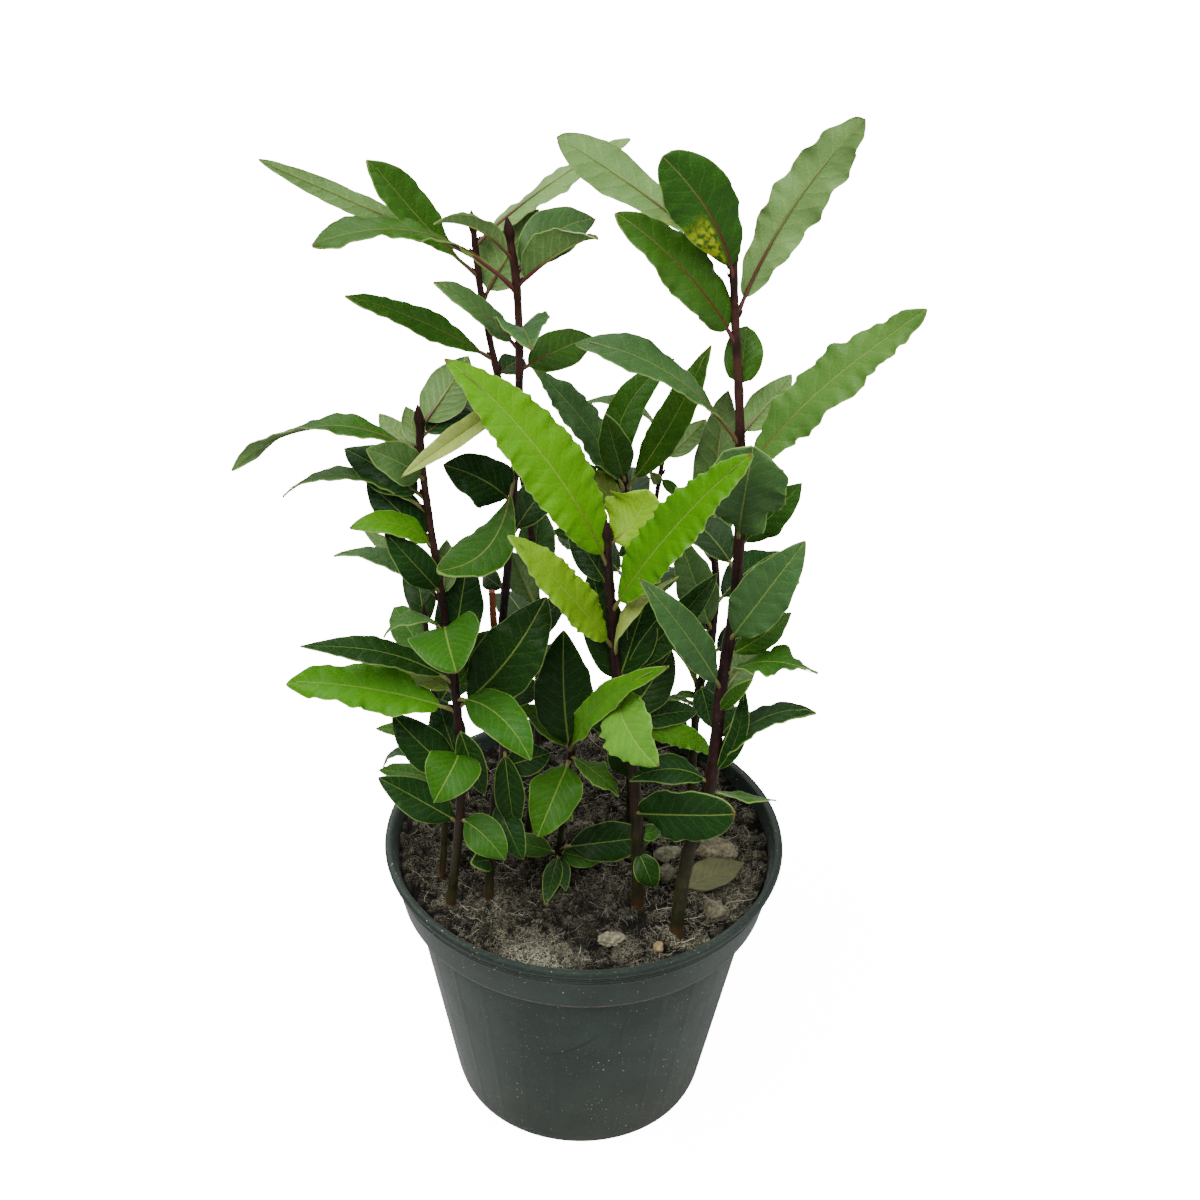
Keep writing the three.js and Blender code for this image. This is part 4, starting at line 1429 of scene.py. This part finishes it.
def half_width(s, u, leaf, dice):
    """Half width at shares s from base to tip, with uneven edges and teeth on young leaves."""
    more, y = leaf.more, s * length_of(leaf)
    power = 0.5 if more.get("blunt") else more.get("power", 0.74)
    bent = np.clip(s, 0, 1) ** (math.log(0.5) / math.log(more.get("peak", PEAK)))
    smooth = np.sin(np.pi * bent).clip(0) ** power
    wave = max(0.0, more.get("wave", 1) - 1)
    uneven = 0.012 if more.get("teeth") else 0.022 + 0.07 * wave
    edge = uneven * frill(y, u, UNEVEN_SPAN, dice)
    beat = y * math.pi / TOOTH_SPAN
    starts = [dice.uniform(0, 3.14) for _ in range(2)]
    teeth = 0.6 - np.abs(np.where(u < 0, np.sin(beat + starts[0]), np.sin(1.15 * beat + starts[1])))
    bite = more.get("teeth", 0.0) * (1 + 0.4 * frill(y, u, BITE_SPAN, dice)) * np.abs(u) ** 6
    teeth = bite * teeth * np.minimum(1, 5 * s * (1 - s))
    return np.maximum(0.2, leaf.width / 2 * smooth * (1 + edge) + teeth)


def lift_of(s, u, half, turn, leaf, dice):
    """How far the blade stands above its line: fold, big waves, fine ruffles and rolled margin."""
    more, width, length = leaf.more, leaf.width, length_of(leaf)
    panels = min(6, max(3, math.floor(length / PANEL + 0.5)))
    wave, away = more.get("wave", 1), np.abs(u)
    swing = WAVE * width * wave * dice.uniform(0.55, 1.1) * (0.55 if more.get("teeth") else 1)
    big = -swing * (-1) ** turn * np.sin(np.pi * panels * s) * np.sign(u) * away ** 1.7
    room = np.minimum(1, 6 * s * (1 - s))
    depth = (0.02 + 0.022 * (wave - 1)) * width
    ruffle = depth * frill(s * length, u, RUFFLE_SPAN, dice) * away ** 2.5
    nibble = 0.4 * (wave - 1) * frill(s * length, u, NIBBLE_SPAN, dice) * away ** 5
    rolled = -0.035 * width * away ** 6
    crease = half * away ** 0.9 * math.sin(math.radians(dice.uniform(4, 15)))
    curl = dice.uniform(-0.05, 0.03) * length * (np.clip(s - 0.7, 0, 1) / 0.3) ** 2
    return big + (ruffle + nibble) * room + rolled + curl + (0 if more.get("fold") else crease)


# %% One leaf, laid
RIB_REACH, RIB_THICK, RIB_SUNK = 0.94, [0.95, 0.62, 0.36, 0.12], [0, -0.1, -0.42, -0.28]


def lay_blade(root, leaf, turn, flat, share, dice):
    """Points of the blade, and each one's place on the flat leaf in mm."""
    u, s, w = flat[:, 0], flat[:, 1], flat[:, 2]
    half = half_width(s, u, leaf, dice)
    lift = lift_of(s, u, half, turn, leaf, dice)
    fold = math.radians(leaf.more.get("fold", 0))
    t = share + (1 - share) * s
    centre, side, above = leaf_line(root, leaf, t)
    out = u * half * math.cos(fold)
    lift = lift + np.abs(u) * half * math.sin(fold) + w * 0.5 * (1 - 0.4 * np.abs(u) ** 4)
    place = np.stack([u * half, t * length_of(leaf), (1 - np.abs(u)) * half], 1)
    return centre + side * out[:, None] + above * lift[:, None], place


def lay_midrib(root, leaf, rib, share):
    """Points of the stalk and midrib, which sink below the blade, and their flat places."""
    t = rib[:, 1] * RIB_REACH
    thick = np.interp(t, [0, share, 0.5, RIB_REACH], RIB_THICK) * min(1, 0.55 + leaf.width / 28)
    sunk = np.interp(t, [0, share * 0.8, share * 1.3, 1], RIB_SUNK)
    centre, side, above = leaf_line(root, leaf, t)
    points = centre + side * (rib[:, 0] * thick)[:, None] + above * (rib[:, 2] * thick + sunk)[:, None]
    return points, np.stack([0 * t, t * length_of(leaf), 0 * t + 9], 1)


def lay_leaf(root, leaf, turn, dice):
    """All the parts of one leaf: points, faces, kinds, and places in mm and on the UV map."""
    length = length_of(leaf)
    size = 100 if leaf.more.get("teeth") else 14 if length < 22 else 28 if length < 46 else 54
    (flat, faces, kinds), (rib, rib_faces, rib_kinds) = BLADES[size]
    share = min(STALK_SHARE, STALK_MOST / length)
    blade, blade_place = lay_blade(root, leaf, turn, flat, share, dice)
    stalk, rib_place = lay_midrib(root, leaf, rib, share)
    t = rib[:, 1] * RIB_REACH
    flats = [np.stack([0.5 + 0.5 * flat[:, 0], flat[:, 1]], 1), np.stack([0.5 + 0 * t, t], 1)]
    joined = faces + [[i + len(blade) for i in face] for face in rib_faces]
    points, place = np.concatenate([blade, stalk]), np.concatenate([blade_place, rib_place])
    return points, joined, kinds + rib_kinds, place, np.concatenate(flats)


# %% [markdown]
# ## Leaf tones
#
# Old leaves are dark and bluish, leaves in the middle of their life are plain green, and the newest
# are lime. The grey, pale and sage tones are painted sheen: lighter, greyer greens for leaves whose
# glossy surface catches the light. Each leaf gets its tone's colour with a small change of its own,
# how red its stalk is, and how yellow it has turned, as attributes on its vertices.

# %% Tones
# grey, pale and sage are painted sheen, lighter and greyer greens for leaves that catch the light.
TONES = {
    "dark": (12, 44, 6), "mid": (37, 74, 14), "green": (35, 77, 6), "fresh": (56, 106, 6),
    "soft": (78, 124, 32), "lime": (66, 122, 0), "young": (98, 140, 16), "sage": (68, 102, 38),
    "grey": (52, 82, 40), "pale": (92, 128, 60), "olive": (70, 88, 28), "straw": (124, 142, 66),
}


def leaf_tone(leaf, dice):
    """Colour of one leaf, a little off its tone."""
    red, green, blue = TONES[leaf.tone]
    shift = dice.uniform(-0.1, 0.1)
    warm = dice.uniform(-3, 3)
    return srgb(red * (1 + shift) + warm, green * (1 + shift * 0.7), blue * (1 + shift) - warm * 0.5)


def leaf_values(leaf, dice):
    """What the finishes read: size and a number of its own, tone, and marks of red and yellow."""
    size = [length_of(leaf), leaf.width / 2, dice.random()]
    tone = leaf_tone(leaf, dice)
    red = leaf.more.get("red", 0.8 * ease(leaf.height, 190, 330)) * dice.uniform(0.7, 1.0)
    return size, tone, [red, leaf.more.get("yellow", 0.0), dice.random()]


# %% All the leaves of a shoot in one mesh
def write_vectors(mesh, name, rows, kind="FLOAT_VECTOR", key="vector"):
    mesh.attributes.new(name, kind, "POINT").data.foreach_set(key, np.asarray(rows, np.float32).ravel())


def write_blade_map(mesh, flats):
    """A UV map that holds each corner's place on the flat leaf."""
    corners = np.zeros(len(mesh.loops), np.int32)
    mesh.loops.foreach_get("vertex_index", corners)
    blade_map = mesh.uv_layers.new(name="blade")
    blade_map.data.foreach_set("uv", flats[corners].astype(np.float32).ravel())


def make_leaves(shoot, seed):
    dice = random.Random(seed)
    faces, kinds, rows, base = [], [], [], 0
    for branch in (shoot, *shoot.twigs):
        for turn, leaf in enumerate(branch.leaves):
            root = np.array(node_at(branch.path, leaf.height))
            points, own_faces, own_kinds, place, flat = lay_leaf(root, leaf, turn, dice)
            faces += [[i + base for i in face] for face in own_faces]
            kinds += own_kinds
            base += len(points)
            values = [[value] * len(points) for value in leaf_values(leaf, dice)]
            rows.append([points, place, flat, *values])
    points, places, flats, sizes, tones, marks = [np.concatenate(column) for column in zip(*rows)]
    mesh = bpy.data.meshes.new("leaves")
    mesh.from_pydata((points * MM).tolist(), [], faces)
    mesh.polygons.foreach_set("material_index", kinds)
    write_vectors(mesh, "leaf_place", places)
    write_vectors(mesh, "leaf_size", sizes)
    write_vectors(mesh, "leaf_tone", tones, "FLOAT_COLOR", "color")
    write_vectors(mesh, "leaf_marks", marks)
    write_blade_map(mesh, flats)
    piece = show("leaves", mesh)
    bpy.ops.object.shade_smooth_by_angle(angle=math.radians(50))
    return piece


leaf_meshes = {name: make_leaves(shoot, 7 + i) for i, (name, shoot) in enumerate(SHOOTS.items())}
print("leaves", sum(triangles(piece) for piece in leaf_meshes.values()), "triangles")

# %% [markdown]
# ## Veins, shared by the leaf finishes
#
# A straight midrib runs to the tip. Side veins leave it every five millimetres or so and curve
# forward to the margin, and a fine net fills the fields between. The group reads each leaf's own
# flat place in millimetres, so a vein is as wide on a small leaf as on a large one.

# %% Node group: leaf veins
def make_veins():
    tree, _, out = new_group("leaf veins", (), ("Midrib", "Veins", "Net", "Edge", "Field", "Along"))
    place = attribute(tree, "leaf_place", "Vector")
    x, y, edge = apart(place)
    length, half, own = apart(attribute(tree, "leaf_size", "Vector"))
    across, share, wide = abs(x), y / length, calc("MAXIMUM", half, 1.0)
    rib = across - (share * -0.16 + calc("MINIMUM", half, 10.0) * 0.034)

    spacing = calc("MAXIMUM", calc("MINIMUM", length / 10.0, 6.0), 2.4)
    wander = node(tree, "TexNoise", {"Vector": place, "Scale": 0.22, "Detail": 2.0})[0]
    ahead = across * 0.75 + across * across / wide * 0.3
    right = calc("GREATER_THAN", x, 0.0) * 0.45
    count = (y - ahead + (wander * 3.0 + own)) / spacing + right
    off = abs(calc("FRACT", count) - 0.5) * spacing * 0.8
    net = node(tree, "TexVoronoi", {"Vector": place, "Scale": 0.8}, feature="DISTANCE_TO_EDGE")
    fill(tree, out, {
        "Midrib": between(rib, 0.12, -0.06),
        "Veins": between(off, 0.26, 0.05) * between(across / wide, 1.0, 0.45),
        "Net": between(net["Distance"], 0.13, 0.02),
        "Edge": between(edge, 0.38, 0.14),
        "Field": between(off, 0.0, 1.6),
        "Along": share,
    })
    return tree


veins_group = make_veins()
print("veins group", len(veins_group.nodes), "nodes")

# %% [markdown]
# ## Leaf finishes
#
# The top of a laurel leaf is leathery and glossy, with pale veins in shallow grooves, and a narrow
# yellowish margin. The underside is paler and dull, and its veins stand out. Stalks are red on young
# wood. Gloss stays in each material's own shader, and the veins come from the shared group.

# %% What the leaf finishes share
def leaf_parts(tree):
    """A leaf's tone, its marks of red and yellow and its own number, and its veins."""
    marks = apart(attribute(tree, "leaf_marks", "Vector"))
    return attribute(tree, "leaf_tone", "Color"), marks, node(tree, "Group", node_tree=veins_group)


def blushing(red, along):
    """How red the midrib is: strong at the base, and reaching the further the redder it is."""
    reach = between(along, red * 0.6 + 0.25, red * 0.25 + 0.05)
    return calc("MULTIPLY", red, 1.5, clamp=True) * reach


def turning(yellow):
    """Where a leaf has turned yellow: patches near the base, on the side that the sign names."""
    place = attribute(yellow.tree, "leaf_place", "Vector")
    x, y, _ = apart(place)
    side = between(x * calc("SIGN", yellow), 0.6, 2.2)
    low = between(y, 4.0, 10.0) * between(y, 30.0, 20.0)
    cloud = node(yellow.tree, "TexNoise", {"Vector": place, "Scale": 0.45, "Detail": 4.0})[0]
    return side * low * between(cloud, 0.36, 0.62) * abs(yellow)


# %% Leaf top
def make_leaf_top():
    material, tree, shader = new_finish("leaf top")
    tone, (red, yellow, own), veins = leaf_parts(tree)
    spots = mottled(tree, 70.0, 900.0, 260.0)
    lighter = blend(1.0, tone, (1.5, 1.35, 1.35, 1), "MULTIPLY")
    vein = blend(1.0, lighter, (0.035, 0.05, 0.012, 1), "ADD")
    rib = blend(0.5, lighter, blend(red, srgb(144, 168, 78), srgb(132, 122, 72)))
    colour = paint(
        tone,
        (spots["Cloud"] * 0.4, lighter),
        (veins["Net"] * 0.15, vein),
        (veins["Veins"] * 0.38, vein),
        (turning(yellow), srgb(146, 156, 12)),
        (veins["Midrib"] * 0.8, rib),
        (blushing(red, veins["Along"]) * veins["Midrib"], srgb(92, 38, 30)),
        (veins["Edge"] * 0.7, blend(0.6, lighter, srgb(140, 168, 80))),
        (between(veins["Along"], 0.975, 0.995) * between(own, 0.5, 0.6) * 0.8, srgb(96, 70, 30)),
    )
    raised = veins["Midrib"] * -0.7 + (veins["Field"] * 0.45 + veins["Net"] * -0.3)
    fill(tree, shader, {
        "Base Color": colour,
        "Roughness": spots["Grain"] * 0.26 + 0.26,
        "Specular IOR Level": 0.11,
        "Normal": relief(raised, 0.2),
    })
    return material


# %% Leaf underside
def make_leaf_under():
    material, tree, shader = new_finish("leaf underside")
    tone, (_, yellow, _), veins = leaf_parts(tree)
    spots = mottled(tree, 80.0, 900.0, 260.0)
    colour = paint(
        blend(0.5, tone, srgb(104, 138, 74)),
        (spots["Cloud"] * 0.3, srgb(92, 126, 62)),
        (veins["Net"] * 0.2, srgb(122, 150, 82)),
        (veins["Veins"] * 0.4, srgb(134, 158, 90)),
        (turning(yellow), srgb(140, 144, 34)),
        (veins["Midrib"] * 0.85, srgb(122, 136, 64)),
        (veins["Edge"] * 0.6, srgb(138, 160, 80)),
    )
    fill(tree, shader, {
        "Base Color": colour,
        "Roughness": spots["Grain"] * 0.2 + 0.46,
        "Specular IOR Level": 0.3,
        "Normal": relief(veins["Field"] * -0.5 + veins["Net"] * 0.3, 0.25),
    })
    return material


# %% Margin and stalk
def make_leaf_rim():
    material, tree, shader = new_finish("leaf margin")
    cloud = mottled(tree, 90.0, 1200.0, 300.0)["Cloud"]
    plain = blend(0.5, attribute(tree, "leaf_tone", "Color"), srgb(140, 166, 84))
    colour = paint(plain, (cloud * 0.2, srgb(132, 140, 74)))
    fill(tree, shader, {"Base Color": colour, "Roughness": 0.45})
    return material


def make_leaf_stalk():
    material, tree, shader = new_finish("leaf stalk and midrib")
    _, (red, _, _), veins = leaf_parts(tree)
    spots = mottled(tree, 90.0, 1400.0, 300.0)
    stalk = between(veins["Along"], 0.16, 0.04) * 0.6
    blush = calc("MAXIMUM", stalk, blushing(red, veins["Along"]))
    plain = blend(spots["Cloud"], srgb(96, 112, 46), srgb(120, 132, 62))
    fill(tree, shader, {
        "Base Color": paint(plain, (blush, srgb(76, 26, 24))),
        "Roughness": 0.42,
        "Normal": relief(spots["Grain"], 0.1),
    })
    return material


leaf_finishes = [make_leaf_top(), make_leaf_under(), make_leaf_rim(), make_leaf_stalk()]


# %% Hang the leaves on their shoots
def settle_leaves(piece, name, finishes, node_name):
    """Leaves keep the material number of each face while they settle."""
    kinds = [face.material_index for face in piece.data.polygons]
    settle(piece, name, finishes, [node_name])
    piece.data.polygons.foreach_set("material_index", kinds)


for name, piece in leaf_meshes.items():
    settle_leaves(piece, name.replace("stem", "leaves"), leaf_finishes, name)

# %% [markdown]
# ## The fallen leaf
#
# One old leaf lies on the soil at the right, dry and olive brown. It is the same flat leaf, laid
# along its own line, with a dull finish that still shows its veins.

# %% Fallen leaf
FALLEN_PATH, FALLEN_LINE = "33 -24.5 105.2, 33 -24.5 106.2", "105.2 23 13.5 1.6 13.5 12 1.6 olive power=1.1"


def make_dry_finish():
    material, tree, shader = new_finish("dry leaf")
    veins = node(tree, "Group", node_tree=veins_group)
    spots = mottled(tree, 150.0, 1100.0, 500.0)
    colour = paint(
        blend(spots["Cloud"], srgb(60, 62, 30), srgb(75, 77.5, 37.5)),
        (veins["Veins"] * 0.35, srgb(92, 94, 54)),
        (veins["Midrib"] * 0.6, srgb(88, 88, 48)),
        (spots["Dots"] * 0.4, srgb(46, 38, 24)),
    )
    fill(tree, shader, {
        "Base Color": colour,
        "Roughness": 0.7,
        "Normal": relief(veins["Field"] * -0.5 + spots["Grain"], 0.25),
    })
    return material


fallen = make_leaves(read_shoot((0, 0), FALLEN_PATH, FALLEN_LINE), 3)
settle_leaves(fallen, "dry_fallen_leaf", [make_dry_finish()] * 4, "fallen_leaf")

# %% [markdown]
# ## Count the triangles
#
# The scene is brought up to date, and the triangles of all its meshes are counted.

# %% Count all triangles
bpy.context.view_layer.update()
print("all triangles", sum(triangles(piece) for piece in bpy.data.objects if piece.type == "MESH"))
